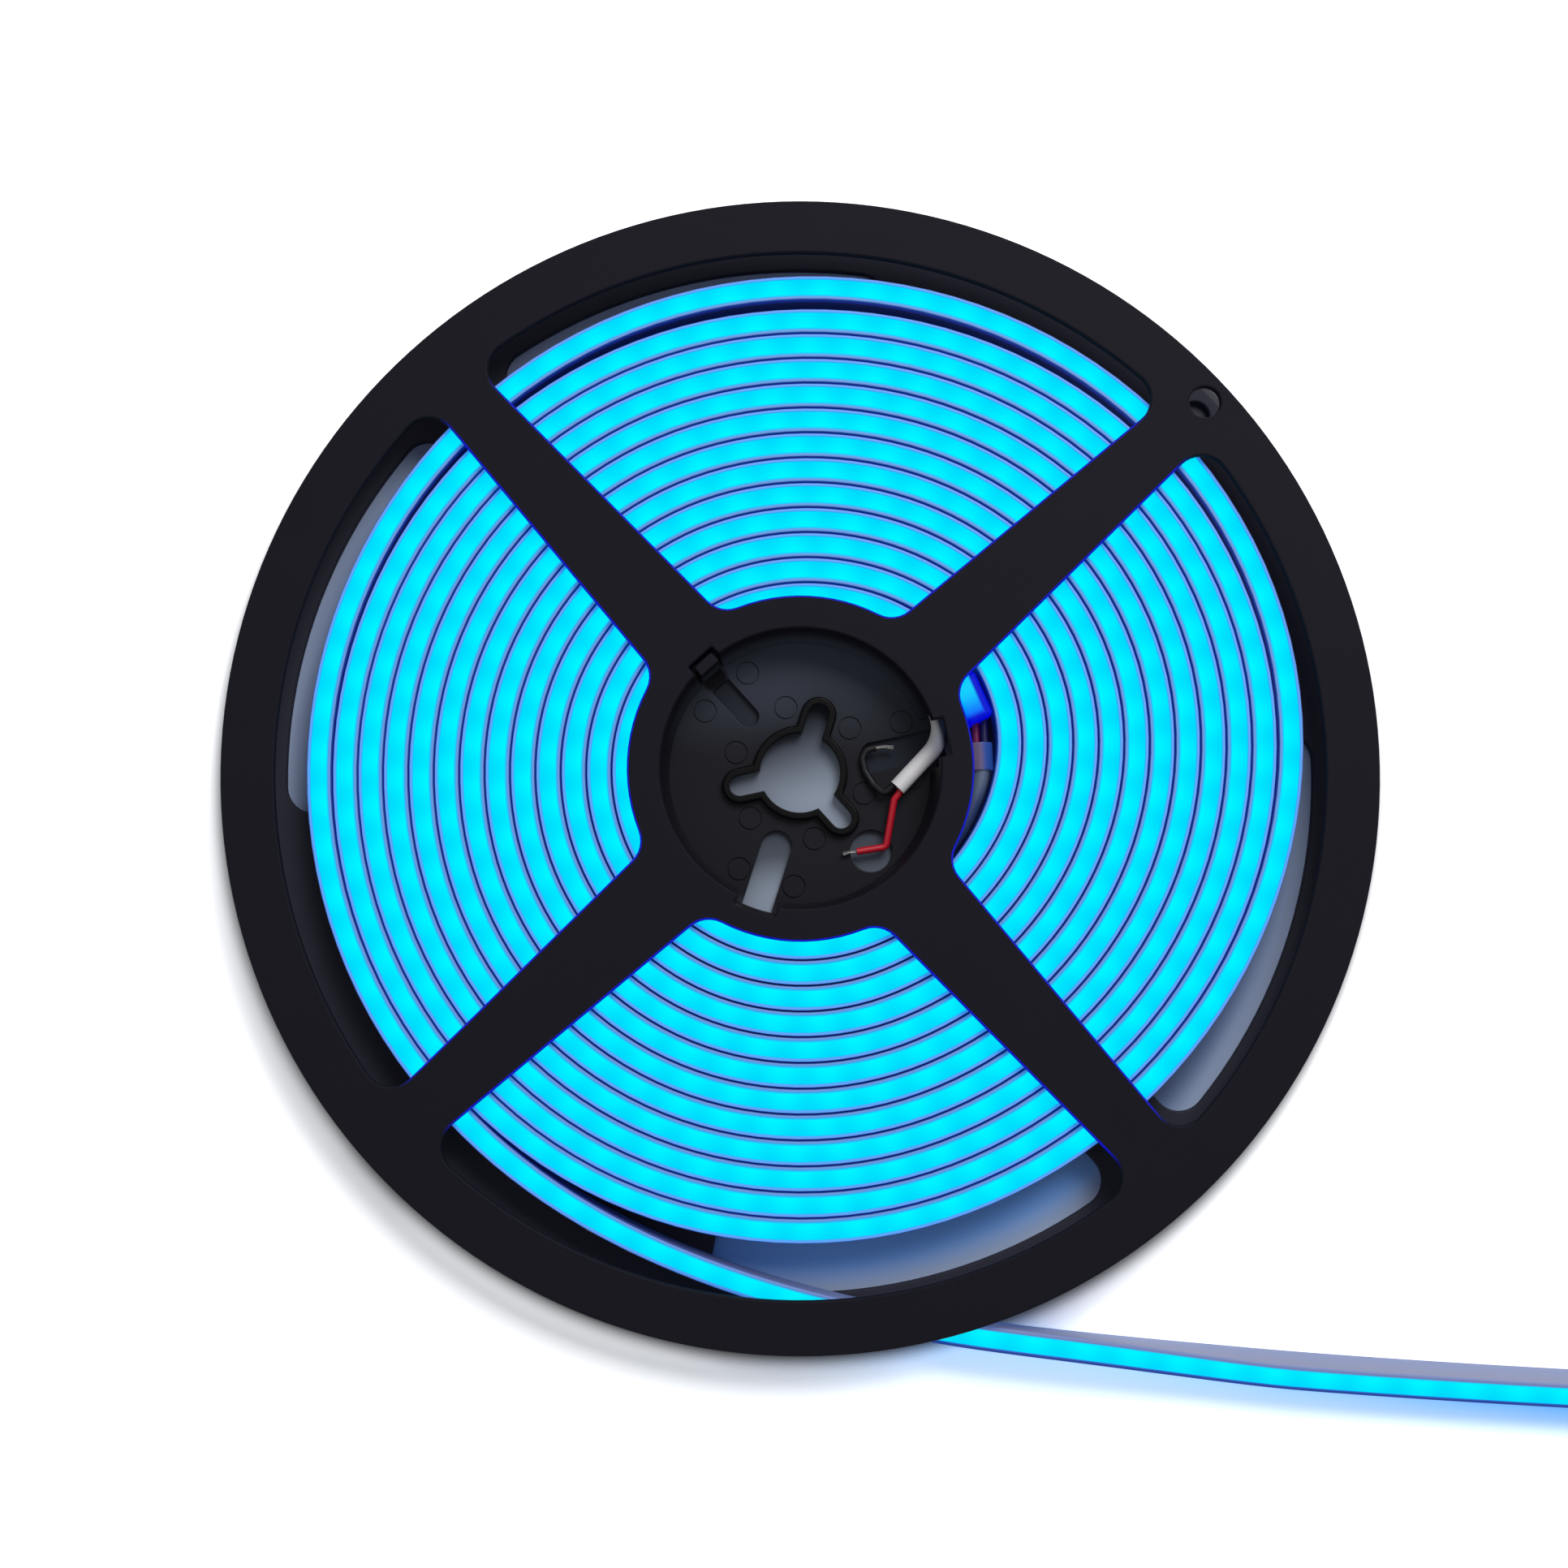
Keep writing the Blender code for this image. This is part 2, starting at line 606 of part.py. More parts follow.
def tube(name, parts, points, diameter, material):
    """A round wire or sheath through a list of points."""
    curve = bpy.data.curves.new(name, "CURVE")
    curve.dimensions = "3D"
    curve.bevel_depth = diameter / 2
    curve.bevel_resolution = 2
    curve.use_fill_caps = True
    spline = curve.splines.new("POLY")
    spline.points.add(len(points) - 1)
    for point, place in zip(spline.points, points):
        point.co = (*place, 1)
    curve.materials.append(material)
    item = bpy.data.objects.new(name, curve)
    parts.objects.link(item)
    return item


def rounded_route(corners, radius, step=20 * DEG):
    """A route through corner points whose corners are bent to a radius."""
    points = [corners[0]]
    for before, corner, after in zip(corners, corners[1:], corners[2:]):
        way_in = (corner - before).normalized()
        way_out = (after - corner).normalized()
        turn = way_in.angle(way_out)
        side = (way_out - way_in * way_out.dot(way_in)).normalized()
        run = radius * math.tan(turn / 2)
        count = max(2, round(turn / step))
        for i in range(count + 1):
            angle = turn * i / count
            swing = way_in * math.sin(angle) + side * (1 - math.cos(angle))
            points.append(corner - way_in * run + swing * radius)
    points.append(corners[-1])
    return points


def lead_route(start, way):
    """The lead's middle, from behind the cap, round under the first turn and into the well by its window."""
    turn_middle = on_circle(collar_run_radius() - LEAD_TURN_RADIUS, LEAD_TURN_ANGLE)
    points = [start]
    start = start + way * SLEEVE_LENGTH
    start_angle = math.atan2(start.y, start.x)
    finish_angle = LEAD_TURN_ANGLE - 2 * math.pi
    count = round((start_angle - finish_angle) / LEAD_STEP)
    for i in range(count + 1):
        angle = start_angle + (finish_angle - start_angle) * i / count
        share = smoothstep((start_angle - angle) / (95 * DEG))
        first_turn = turn_radius(angle + 2 * math.pi) - STRIP_WIDTH / 2
        under_turn = max(first_turn - LEAD_DIAMETER / 2 - LEAD_SLACK, collar_run_radius())
        sprung = math.hypot(start.x, start.y) * (1 - share) + under_turn * share
        home = smoothstep((angle - finish_angle) / LEAD_HOMING)
        radius = min(sprung * home + collar_run_radius() * (1 - home), under_turn)
        height = start.z * (1 - share) + LEAD_LOW * share
        points.append(Vector((*on_circle(radius, angle), height)))
    sweep_end = LEAD_END_HEADING + 90 * DEG
    bend = arc(LEAD_TURN_RADIUS, LEAD_TURN_ANGLE, sweep_end, turn_middle, 11 * DEG)[1:]
    points += [Vector((*place, LEAD_LOW)) for place in bend]
    way = Vector((*on_circle(1, LEAD_END_HEADING), 0))
    points += [points[-1] + way * LEAD_RUN_IN_WELL * share for share in (0.5, 1)]
    return points


def collar_run_radius():
    """Radius at which the lead's middle clears the tapered collar."""
    top = LEAD_LOW + LEAD_DIAMETER / 2
    share = (top - FLOOR_THICKNESS) / (UPPER_UNDERSIDE - FLOOR_THICKNESS)
    wall = COLLAR_FOOT_RADIUS + COLLAR_WALL + (WELL_RADIUS - COLLAR_FOOT_RADIUS) * share
    return wall + LEAD_SIDE_GAP + LEAD_DIAMETER / 2


def lead(parts, cutters, cap_face, cap_way, materials):
    """Sheath, shrink sleeve, and the two cores between them and the cap."""
    way = Vector((*on_circle(1, LEAD_HEADING), 0))
    stub_end = cap_face + way * CORE_STUB
    route = lead_route(stub_end + way * SEAT_GAP, way)
    tube("lead_sheath", parts, route, LEAD_DIAMETER, materials["sheath"])

    bore = LEAD_DIAMETER + 2 * FILL_GAP
    outside = bore + 2 * SLEEVE_WALL
    sleeve_end = route[0] + way * SLEEVE_LENGTH
    body = tube("shrink_sleeve_body", parts, [route[0], sleeve_end], outside, materials["sleeve"])
    sleeve = to_mesh(body, "shrink_sleeve", parts, materials["sleeve"])
    hole = tube("sleeve_bore", cutters, [route[0] - way, sleeve_end + way], bore, materials["sleeve"])
    boolean(sleeve, to_mesh(hole, "sleeve_bore", cutters), "DIFFERENCE")
    shade(sleeve)

    side = Vector((-way.y, way.x, 0)) * CORE_SPACING / 2
    seat = SEAT_GAP + CORE_DIAMETER / 2 * math.sin(way.angle(cap_way))
    for colour, hand in (("red", -1), ("black", 1)):
        beside = side * hand
        from_face = (seat - beside.dot(cap_way)) / way.dot(cap_way)
        tube(colour + "_core_at_cap", parts, [cap_face + beside + way * from_face, stub_end + beside],
             CORE_DIAMETER, materials[colour])
    return route[-1], (route[-1] - route[-2]).normalized()


def free_cores(parts, sheath_end, way, materials):
    """The two stripped cores that lie on the floor of the well."""
    low = FLOOR_THICKNESS + SEAT_GAP + CORE_DIAMETER / 2
    side = Vector((-way.y, way.x, 0)) * CORE_SPACING / 2
    root = sheath_end + way * SEAT_GAP

    def beside(place, height):
        along, across = place
        point = sheath_end + way * along * MM + side.normalized() * across * MM
        point.z = height
        return point

    def lying(places):
        return [beside(place, low) for place in places]

    dipped = root.z - CORE_DIP
    red = [root + side, beside(RED_CORE_ROOT, dipped)] + lying(RED_CORE)
    red_tip = lying(RED_STRANDS)
    black = [root - side, beside(BLACK_CORE_ROOT, dipped), beside(BLACK_CORE_FALL, low + CORE_DIP)]
    black += lying(BLACK_CORE)
    black_tip = lying(BLACK_STRANDS)
    for colour, points, tip in (("red", red, red_tip), ("black", black, black_tip)):
        route = rounded_route(points, CORE_BEND)
        tube(colour + "_core_end", parts, route, CORE_DIAMETER, materials[colour])
        tube(colour + "_core_strands", parts, tip, STRAND_DIAMETER, materials["tinned"])


def stand_over_origin(parts, cutters):
    """Hang every piece and cutter on the reel's axis, placed so that the whole stands over the origin."""
    bpy.context.view_layer.update()
    graph = bpy.context.evaluated_depsgraph_get()
    corners = []
    for item in parts.objects:
        mesh = item.evaluated_get(graph).to_mesh()
        corners += [item.matrix_world @ vertex.co for vertex in mesh.vertices]
    low = Vector(min(c[i] for c in corners) for i in range(3))
    high = Vector(max(c[i] for c in corners) for i in range(3))
    axis = bpy.data.objects.new("reel_axis", None)
    axis.empty_display_size = REEL_RADIUS / 4
    axis.location = (-(low.x + high.x) / 2, -(low.y + high.y) / 2, -low.z)
    drawn = list(parts.objects) + list(cutters.objects)
    parts.objects.link(axis)
    for item in drawn:
        item.parent = axis


def main():
    clear_scene()
    parts = new_collection("neon_flex_strip")
    cutters = new_collection("cutters")
    plastic = new_material("black_reel_plastic", BLACK_PLASTIC, 0.62)
    silicone = {
        "jacket": new_material("white_silicone", WHITE_SILICONE, 0.55),
        "tape": new_material("tape_white", TAPE_WHITE, 0.5),
        "diffuser": new_material("lit_diffuser", LIT_CYAN, 0.4, glow=1.0),
    }
    wire = {
        "sheath": new_material("sheath_white", SHEATH_WHITE, 0.5),
        "sleeve": new_material("sleeve_grey", SLEEVE_GREY, 0.35),
        "red": new_material("core_red", CORE_RED, 0.4),
        "black": new_material("core_black", CORE_BLACK, 0.4),
        "tinned": new_material("tinned_copper", TINNED, 0.25, metallic=1.0),
    }
    cap = new_material("cap_silicone", CAP_BLUE, 0.35)

    lower_half(parts, cutters, plastic)
    upper_half(parts, cutters, plastic)
    route = strip_route()
    strip(parts, cutters, route, silicone)
    cap_face, cap_way = inner_cap(parts, route, cap)
    outer_cap(parts, route, silicone["jacket"])
    sheath_end, way = lead(parts, cutters, cap_face, cap_way, wire)
    free_cores(parts, sheath_end, way, wire)
    stand_over_origin(parts, cutters)


main()
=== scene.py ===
# A reel of neon flex strip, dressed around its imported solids: moulded reel halves
# with their lips and marks, the wound strip with its lit face, and the lead.
import math

import bmesh
import bpy
from mathutils import Matrix, Vector


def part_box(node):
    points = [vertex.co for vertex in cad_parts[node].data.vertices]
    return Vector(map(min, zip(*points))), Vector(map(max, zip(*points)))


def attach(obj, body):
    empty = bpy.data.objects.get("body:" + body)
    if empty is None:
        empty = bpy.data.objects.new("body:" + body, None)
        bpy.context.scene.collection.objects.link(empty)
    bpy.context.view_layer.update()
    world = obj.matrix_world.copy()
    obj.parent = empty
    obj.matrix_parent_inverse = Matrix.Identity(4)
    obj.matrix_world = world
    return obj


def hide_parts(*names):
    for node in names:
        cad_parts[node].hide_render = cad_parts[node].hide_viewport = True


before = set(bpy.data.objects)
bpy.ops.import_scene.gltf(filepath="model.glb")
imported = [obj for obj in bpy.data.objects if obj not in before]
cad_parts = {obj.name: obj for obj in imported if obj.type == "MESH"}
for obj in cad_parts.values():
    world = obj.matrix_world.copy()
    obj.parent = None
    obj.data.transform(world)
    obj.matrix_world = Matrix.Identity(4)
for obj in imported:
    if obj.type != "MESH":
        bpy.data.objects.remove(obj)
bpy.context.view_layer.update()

MM = 0.001
DEG = math.pi / 180

# The reel's axis and heights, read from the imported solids
reel_low, reel_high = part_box("reel_lower_half")
AXIS = Vector(((reel_low.x + reel_high.x) / 2, (reel_low.y + reel_high.y) / 2, 0))
REEL_RADIUS = (reel_high.x - reel_low.x) / 2
UPPER_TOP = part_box("reel_upper_half")[1].z
STRIP_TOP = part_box("light_diffuser")[1].z
CAP_MIDDLE = sum(corner.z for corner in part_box("inner_end_cap")) / 2

# Reel
FLANGE = 1.8 * MM
UPPER_UNDERSIDE = UPPER_TOP - FLANGE
WINDOW_RADIUS = REEL_RADIUS - 9.3 * MM
HUB_BAND_RADIUS = 30.0 * MM
WINDOW_FILLET = 4.7 * MM
SPOKE_ANGLE = 42.2 * DEG
SPOKE_WIDTHS = (15.4 * MM, 10.2 * MM)
LOWER_SPOKE_WIDTHS = (15.5 * MM, 15.5 * MM)
LABEL_HALF_ANGLE = 37.5 * DEG
RIM_HOLE_RADIUS, RIM_HOLE_INSET = 2.7 * MM, 4.6 * MM
LIP = 0.4 * MM
WELL_RADIUS = 24.3 * MM
WELL_FOOT_RADIUS = 23.1 * MM
COLLAR_WALL = 0.9 * MM
RECESS_RADIUS = 24.6 * MM
FLOOR = 1.2 * MM
HUB_ANGLE = SPOKE_ANGLE - 30 * DEG
NOTCH_DEPTH, NOTCH_INWARD = 1.6 * MM, 4.9 * MM
NOTCH_WIDTHS = (6.6 * MM, 5.5 * MM, 7.3 * MM)
LEAD_WINDOW_WIDTH = 9.4 * MM
ARBOR_RADIUS = 7.1 * MM
KEY_WIDTH = 3.7 * MM
KEY_CENTRE_RADIUS = 10.85 * MM
ARBOR_RIM_WIDTH, ARBOR_RIM_HEIGHT = 1.3 * MM, 1.6 * MM
ARBOR_RIM_EDGE, FLOOR_EDGE = 0.45 * MM, 0.2 * MM
SLOT_START = 13.6 * MM
SLOT_WIDTHS = (5.4 * MM, 3.7 * MM, 5.4 * MM)
SLOT_ENDS = (25.9 * MM, 21.0 * MM, 25.9 * MM)
DRAIN_RADIUS, DRAIN_CENTRE = 3.7 * MM, 18.65 * MM
PIN_MARK_RADIUS, PIN_MARK_LINE, PIN_MARK_DEPTH = 2.1 * MM, 0.24 * MM, 0.3 * MM
PIN_CIRCLE_INNER, PIN_CIRCLE_OUTER, PIN_SPREAD = 11.9 * MM, 20.1 * MM, 14.6 * DEG
LATCH_ANGLE = HUB_ANGLE + 120 * DEG
TONGUE_WIDTH, TONGUE_THICKNESS, TONGUE_HEAD = 4.0 * MM, 0.9 * MM, 1.1 * MM
TONGUE_HOOK = 1.8 * MM

# Working tolerances
OVERCUT = 2 * MM
SHARP_EDGE, SMOOTH_EDGE = 40 * DEG, 35 * DEG
SAME_POINT, SAME_CORNER, SAME_HEIGHT = 2e-6, 5e-6, 0.01 * MM

# Strip, standing on edge with its lit face up
STRIP_WIDTH = 4.2 * MM
STRIP_HEIGHT = 8.0 * MM
STRIP_FOOT = STRIP_TOP - STRIP_HEIGHT
LIT_WIDTH = 2.84 * MM
JACKET_FLOOR, FILLING_FOOT = 1.0 * MM, 1.8 * MM
DIODE_PITCH = 1.0 / 120
TURN_PITCH = 4.4 * MM
FIRST_TURN_RADIUS = 30.25 * MM
START_ANGLE = 31.5 * DEG
LEAVE_ANGLE = 225 * DEG
FULL_TURNS = 12
TURN_STEP = 3 * DEG
TAIL_STEPS = 30
TAIL_CROSSING = Vector((40.7 * MM, 1.5 * MM - REEL_RADIUS))
TAIL_END = TAIL_CROSSING + Vector((109.3 * MM, -8.2 * MM))
TAIL_LEAN = 12 * DEG
TAIL_DROP_RUN, TAIL_LEAN_RUN, TAIL_FREE_RUN = 24 * MM, 32 * MM, 20 * MM
INNER_CAP = (8.6 * MM, 4.8 * MM, 8.4 * MM)
OUTER_CAP_LENGTH = 6.0 * MM
SEAT_GAP = 0.3 * MM

# Lead
LEAD_DIAMETER = 3.1 * MM
LEAD_SIDE_GAP = 0.2 * MM
LEAD_SLACK = 0.4 * MM
LEAD_HOMING = 60 * DEG
LEAD_HEADING = -88 * DEG
LEAD_TURN_RADIUS = 6.6 * MM
LEAD_TURN_ANGLE = 23.5 * DEG
LEAD_END_HEADING = -133 * DEG
LEAD_RUN_IN_WELL = 8.4 * MM
LEAD_LOW = FLANGE + SEAT_GAP + LEAD_DIAMETER / 2
CORE_STUB = 3.4 * MM
CORE_DIAMETER = 1.25 * MM
CORE_SPACING = 1.5 * MM
CORE_INTO_CAP, CORE_INTO_SLEEVE, CORE_INTO_SHEATH = 0.6 * MM, 1.2 * MM, 0.5 * MM
CORE_BEND_RADIUS = 0.95 * MM
STRAND_DIAMETER = 0.2 * MM
STRANDS_ROUND = 6
STRAND_LAY = 1.5 * MM
SLEEVE_LENGTH = 4.8 * MM
SLEEVE_DIAMETER, SLEEVE_WALL = 4.1 * MM, 0.3 * MM

# Camera, fitted to the reel's round edges in the picture
CAMERA_PLACE = Vector((-4.07, -36.91, 427.81)) * MM
CAMERA_LOOK = Vector((0.0029, 0.0817, -0.9966))
CAMERA_UP = Vector((-0.0002, 0.9967, 0.0817))
CAMERA_LENS, CAMERA_SENSOR = 55.54, 36

# Where painted shade turns to painted light or glow and colours change, each from none to full
ARBOR_RIM_RING = (14.2 * MM, 13.8 * MM)
LATCH_SHADE_RADIUS, LATCH_SHADE = 22.6 * MM, (2.9 * MM, 1.7 * MM)
LIT_LIPS_INNER = (HUB_BAND_RADIUS - MM, HUB_BAND_RADIUS - 0.5 * MM)
LIT_LIPS_OUTER = (88 * MM, 82 * MM)
BORE_LIGHT, KEY_LIGHT = (10.7 * MM, 10.3 * MM), (2.6 * MM, 2.2 * MM)
SLOT_LIGHT_PLACE, SLOT_LIGHT = Vector((-4 * MM, -25 * MM, 0)), (14 * MM, 2 * MM)
UNDER_WINDOWS, WINDOW_FLOOR = (25 * MM, HUB_BAND_RADIUS), (85 * MM, 91 * MM)
UNDER_RIM, CLEAR_PAPER = (93 * MM, 95 * MM), (REEL_RADIUS + MM, REEL_RADIUS + 5 * MM)
GLOW_BELOW, GLOW_ABOVE, GLOW_SLOPE = (12 * MM, 0.0), (-1 * MM, 0.5 * MM), 0.085
GLOW_START, GLOW_END = (45 * MM, 140 * MM), (162 * MM, 150 * MM)


# Working as by hand

def deselect():
    if bpy.context.mode != "OBJECT":
        bpy.ops.object.mode_set(mode="OBJECT")
    bpy.ops.object.select_all(action="DESELECT")


def pick(*pieces):
    """Select these pieces alone, the first of them active."""
    deselect()
    for piece in pieces:
        piece.select_set(True)
    bpy.context.view_layer.objects.active = pieces[0]
    return pieces[0]


def named(name):
    piece = bpy.context.view_layer.objects.active
    piece.name = piece.data.name = name
    return piece


def settle(piece):
    """Put a piece's place, turn and scale into its mesh."""
    pick(piece)
    bpy.ops.object.transform_apply(location=True, rotation=True, scale=True)
    return piece


def copied(piece, name, turn=0.0):
    """A copy of a piece, turned about the reel's axis."""
    pick(piece)
    bpy.ops.object.duplicate(linked=False)
    copy = named(name)
    copy.rotation_euler.z = turn
    return settle(copy)


def select_where(piece, kind, test):
    """In edit mode, select the vertices, edges or faces that pass a test."""
    pick(piece)
    bpy.ops.object.mode_set(mode="EDIT")
    bpy.ops.mesh.select_mode(type=kind)
    bpy.ops.mesh.select_all(action="DESELECT")
    work = bmesh.from_edit_mesh(piece.data)
    for item in {"VERT": work.verts, "EDGE": work.edges, "FACE": work.faces}[kind]:
        item.select = test(item)
    work.select_flush_mode()
    bmesh.update_edit_mesh(piece.data)


def at_height(edge, height):
    return all(abs(vertex.co.z - height) < SAME_HEIGHT for vertex in edge.verts)


def round_edges(piece, width, segments=3, test=lambda edge: True):
    """Bevel the sharp edges that pass a test."""
    def wanted(edge):
        return edge.calc_face_angle(0) > SHARP_EDGE and test(edge)

    select_where(piece, "EDGE", wanted)
    bpy.ops.mesh.bevel(offset=width, segments=segments, affect="EDGES", clamp_overlap=False)
    bpy.ops.object.mode_set(mode="OBJECT")
    return clean(piece)


def clean(piece):
    """Merge doubled points and turn every face outwards."""
    pick(piece)
    bpy.ops.object.mode_set(mode="EDIT")
    bpy.ops.mesh.select_all(action="SELECT")
    bpy.ops.mesh.remove_doubles(threshold=SAME_POINT)
    bpy.ops.mesh.normals_make_consistent(inside=False)
    bpy.ops.object.mode_set(mode="OBJECT")
    return piece


def modify(piece, kind, **settings):
    """Add a modifier and apply it."""
    pick(piece)
    modifier = piece.modifiers.new(kind.lower(), kind)
    for key, value in settings.items():
        setattr(modifier, key, value)
    bpy.ops.object.modifier_apply(modifier=modifier.name)
    return piece


def combine(piece, other, operation="DIFFERENCE"):
    """Cut one piece by another or weld it on. The other is used up."""
    modify(piece, "BOOLEAN", object=other, operation=operation, solver="EXACT")
    bpy.data.objects.remove(other, do_unlink=True)
    return piece


def joined(pieces):
    pick(*pieces)
    bpy.ops.object.join()
    return pieces[0]


def block(name, size, place, turn=0.0, rounding=0.0, lean=0.0):
    """A box, with its edges rounded."""
    deselect()
    bpy.ops.mesh.primitive_cube_add(size=1, location=place, rotation=(lean, 0, turn))
    piece = named(name)
    piece.scale = size
    settle(piece)
    return round_edges(piece, rounding, 4) if rounding else piece


def drum(name, radius, low, high, place=(0, 0), sides=48):
    deselect()
    bpy.ops.mesh.primitive_cylinder_add(vertices=sides, radius=radius, depth=high - low,
                                        location=(place[0], place[1], (low + high) / 2))
    return settle(named(name))


def pipe(name, radius, wall, low, high, place=(0, 0), sides=48):
    """A drum bored through: its ends are inset and bridged."""
    piece = drum(name, radius, low, high, place, sides)
    select_where(piece, "FACE", lambda face: abs(face.normal.z) > 0.9)
    bpy.ops.mesh.inset(thickness=wall)
    bpy.ops.mesh.bridge_edge_loops()
    bpy.ops.object.mode_set(mode="OBJECT")
    return clean(piece)


def prism(name, start, moves, low, high):
    """An upright edge that is run and turned round an outline, then capped above and below.
    A run is a vector. A turn is a centre, an angle and the angle of one step."""
    deselect()
    size = high - low
    place = (start.x + size / 2, start.y, (low + high) / 2)
    bpy.ops.mesh.primitive_plane_add(size=size, location=place, rotation=(90 * DEG, 0, 0))
    piece = settle(named(name))
    select_where(piece, "VERT", lambda vertex: vertex.co.x > start.x + size / 2)
    bpy.ops.mesh.delete(type="VERT")
    select_where(piece, "EDGE", lambda edge: True)
    for move in moves:
        if isinstance(move, Vector):
            run = {"value": (move.x, move.y, 0)}
            bpy.ops.mesh.extrude_region_move(TRANSFORM_OT_translate=run)
            continue
        centre, angle, step = move
        count = max(2, round(abs(angle) / step))
        bpy.ops.mesh.spin(steps=count, angle=-angle, center=(*centre, 0), axis=(0, 0, 1))
    bpy.ops.mesh.select_all(action="SELECT")
    bpy.ops.mesh.remove_doubles(threshold=SAME_CORNER)
    for height in (low, high):
        select_where(piece, "EDGE", lambda edge: at_height(edge, height))
        bpy.ops.mesh.edge_face_add()
    return clean(piece)


def on_circle(radius, angle, centre=(0, 0)):
    return Vector((centre[0] + radius * math.cos(angle), centre[1] + radius * math.sin(angle)))


def turned(x, y, angle):
    return Matrix.Rotation(angle, 2) @ Vector((x, y))


def heading(vector):
    return math.atan2(vector.y, vector.x)


ORIGIN = Vector((0, 0))


# Reel

def window_sides(spoke, widths, hand):
    """Inward normal and the two fillet centres of a window beside a spoke."""
    near = turned(HUB_BAND_RADIUS, hand * widths[0] / 2, spoke)
    far = turned(WINDOW_RADIUS, hand * widths[1] / 2, spoke)
    direction = (far - near).normalized()
    inward = Vector((-direction.y, direction.x)) * hand
    start = near + inward * WINDOW_FILLET
    along = start.dot(direction)
    centres = []
    for radius in (WINDOW_RADIUS - WINDOW_FILLET, HUB_BAND_RADIUS + WINDOW_FILLET):
        reach = along * along - start.dot(start) + radius ** 2
        centres.append(start + direction * (math.sqrt(reach) - along))
    return inward, *centres


def window_cutter(name, first_spoke, first_widths, last_spoke, last_widths, low, high):
    """A window between two spokes, its four corners filleted."""
    inward_a, outer_a, inner_a = window_sides(first_spoke, first_widths, 1)
    inward_b, outer_b, inner_b = window_sides(last_spoke, last_widths, -1)

    def corner(centre, start, end):
        return centre, (end - start + math.pi) % (2 * math.pi) - math.pi, 11 * DEG

    span_out = (heading(outer_b) - heading(outer_a)) % (2 * math.pi)
    span_in = (heading(inner_b) - heading(inner_a)) % (2 * math.pi)
    moves = [
        corner(outer_a, heading(-inward_a), heading(outer_a)),
        (ORIGIN, span_out, 2 * DEG),
        corner(outer_b, heading(outer_b), heading(-inward_b)),
        inner_b - outer_b,
        corner(inner_b, heading(-inward_b), heading(-inner_b)),
        (ORIGIN, -span_in, 4 * DEG),
        corner(inner_a, heading(-inner_a), heading(-inward_a)),
        outer_a - inner_a]
    return prism(name, outer_a - inward_a * WINDOW_FILLET, moves, low, high)


def keyed_prism(name, margin, low, high):
    """The arbor hole, a circle with three round-ended keyways, grown by a margin."""
    radius = ARBOR_RADIUS + margin
    half = KEY_WIDTH / 2 + margin
    mouth = math.asin(half / radius)
    reach = KEY_CENTRE_RADIUS - radius * math.cos(mouth)
    moves = []
    for key in range(3):
        angle = HUB_ANGLE + (60 + 120 * key) * DEG
        moves += [(turned(KEY_CENTRE_RADIUS, 0, angle), 180 * DEG, 12 * DEG),
                  turned(-reach, 0, angle),
                  (ORIGIN, 120 * DEG - 2 * mouth, 7 * DEG),
                  turned(reach, 0, angle + 120 * DEG)]
    return prism(name, turned(KEY_CENTRE_RADIUS, -half, HUB_ANGLE + 60 * DEG), moves, low, high)


def slot_prism(name, width, end, angle, low, high):
    """A slot with a round inner end."""
    half, length = width / 2, end - SLOT_START
    moves = [(turned(SLOT_START, 0, angle), 180 * DEG, 12 * DEG),
             turned(length, 0, angle), turned(0, width, angle), turned(-length, 0, angle)]
    return prism(name, turned(SLOT_START, half, angle), moves, low, high)


def flange(name, low, windows):
    """A flat disc with its windows and rim hole."""
    high = low + FLANGE
    piece = drum(name, REEL_RADIUS, low, high, sides=192)
    for window in windows:
        combine(piece, window)
    place = on_circle(REEL_RADIUS - RIM_HOLE_INSET, SPOKE_ANGLE)
    return combine(piece, drum("rim_hole", RIM_HOLE_RADIUS, low - OVERCUT, high + OVERCUT, place))


def upper_half():
    reach = (UPPER_UNDERSIDE - OVERCUT, UPPER_TOP + OVERCUT)
    first = window_cutter("window_1", SPOKE_ANGLE, SPOKE_WIDTHS,
                          SPOKE_ANGLE + 90 * DEG, SPOKE_WIDTHS, *reach)
    windows = [copied(first, "window_%d" % (i + 2), (i + 1) * 90 * DEG) for i in range(3)]
    piece = flange("upper_flange", UPPER_UNDERSIDE, [first] + windows)
    combine(piece, drum("well", WELL_RADIUS, *reach, sides=144))
    for notch in notches(UPPER_UNDERSIDE - OVERCUT):
        combine(piece, notch)
    round_edges(piece, LIP)
    lining = collar()
    for notch in notches(0):
        combine(lining, notch)
    combine(lining, lead_window())
    combine(piece, lining, "UNION")
    return piece


def notches(low):
    """Three square notches in the well's edge."""
    inwards, outwards = WELL_RADIUS - NOTCH_INWARD, WELL_RADIUS + NOTCH_DEPTH
    cutters = []
    for number, width in enumerate(NOTCH_WIDTHS):
        angle = HUB_ANGLE + number * 120 * DEG
        place = (*on_circle((inwards + outwards) / 2, angle), (low + UPPER_TOP + OVERCUT) / 2)
        size = (outwards - inwards, width, UPPER_TOP + OVERCUT - low)
        cutters.append(block("notch_%d" % (number + 1), size, place, angle))
    return cutters


def lead_window():
    """The opening under the first notch, through which the lead comes into the well."""
    inwards, outwards = WELL_RADIUS - NOTCH_INWARD, WELL_RADIUS + NOTCH_DEPTH
    top = UPPER_UNDERSIDE - SEAT_GAP
    place = (*on_circle((inwards + outwards) / 2, HUB_ANGLE), top / 2)
    return block("lead_window", (outwards - inwards, LEAD_WINDOW_WIDTH, top), place, HUB_ANGLE)


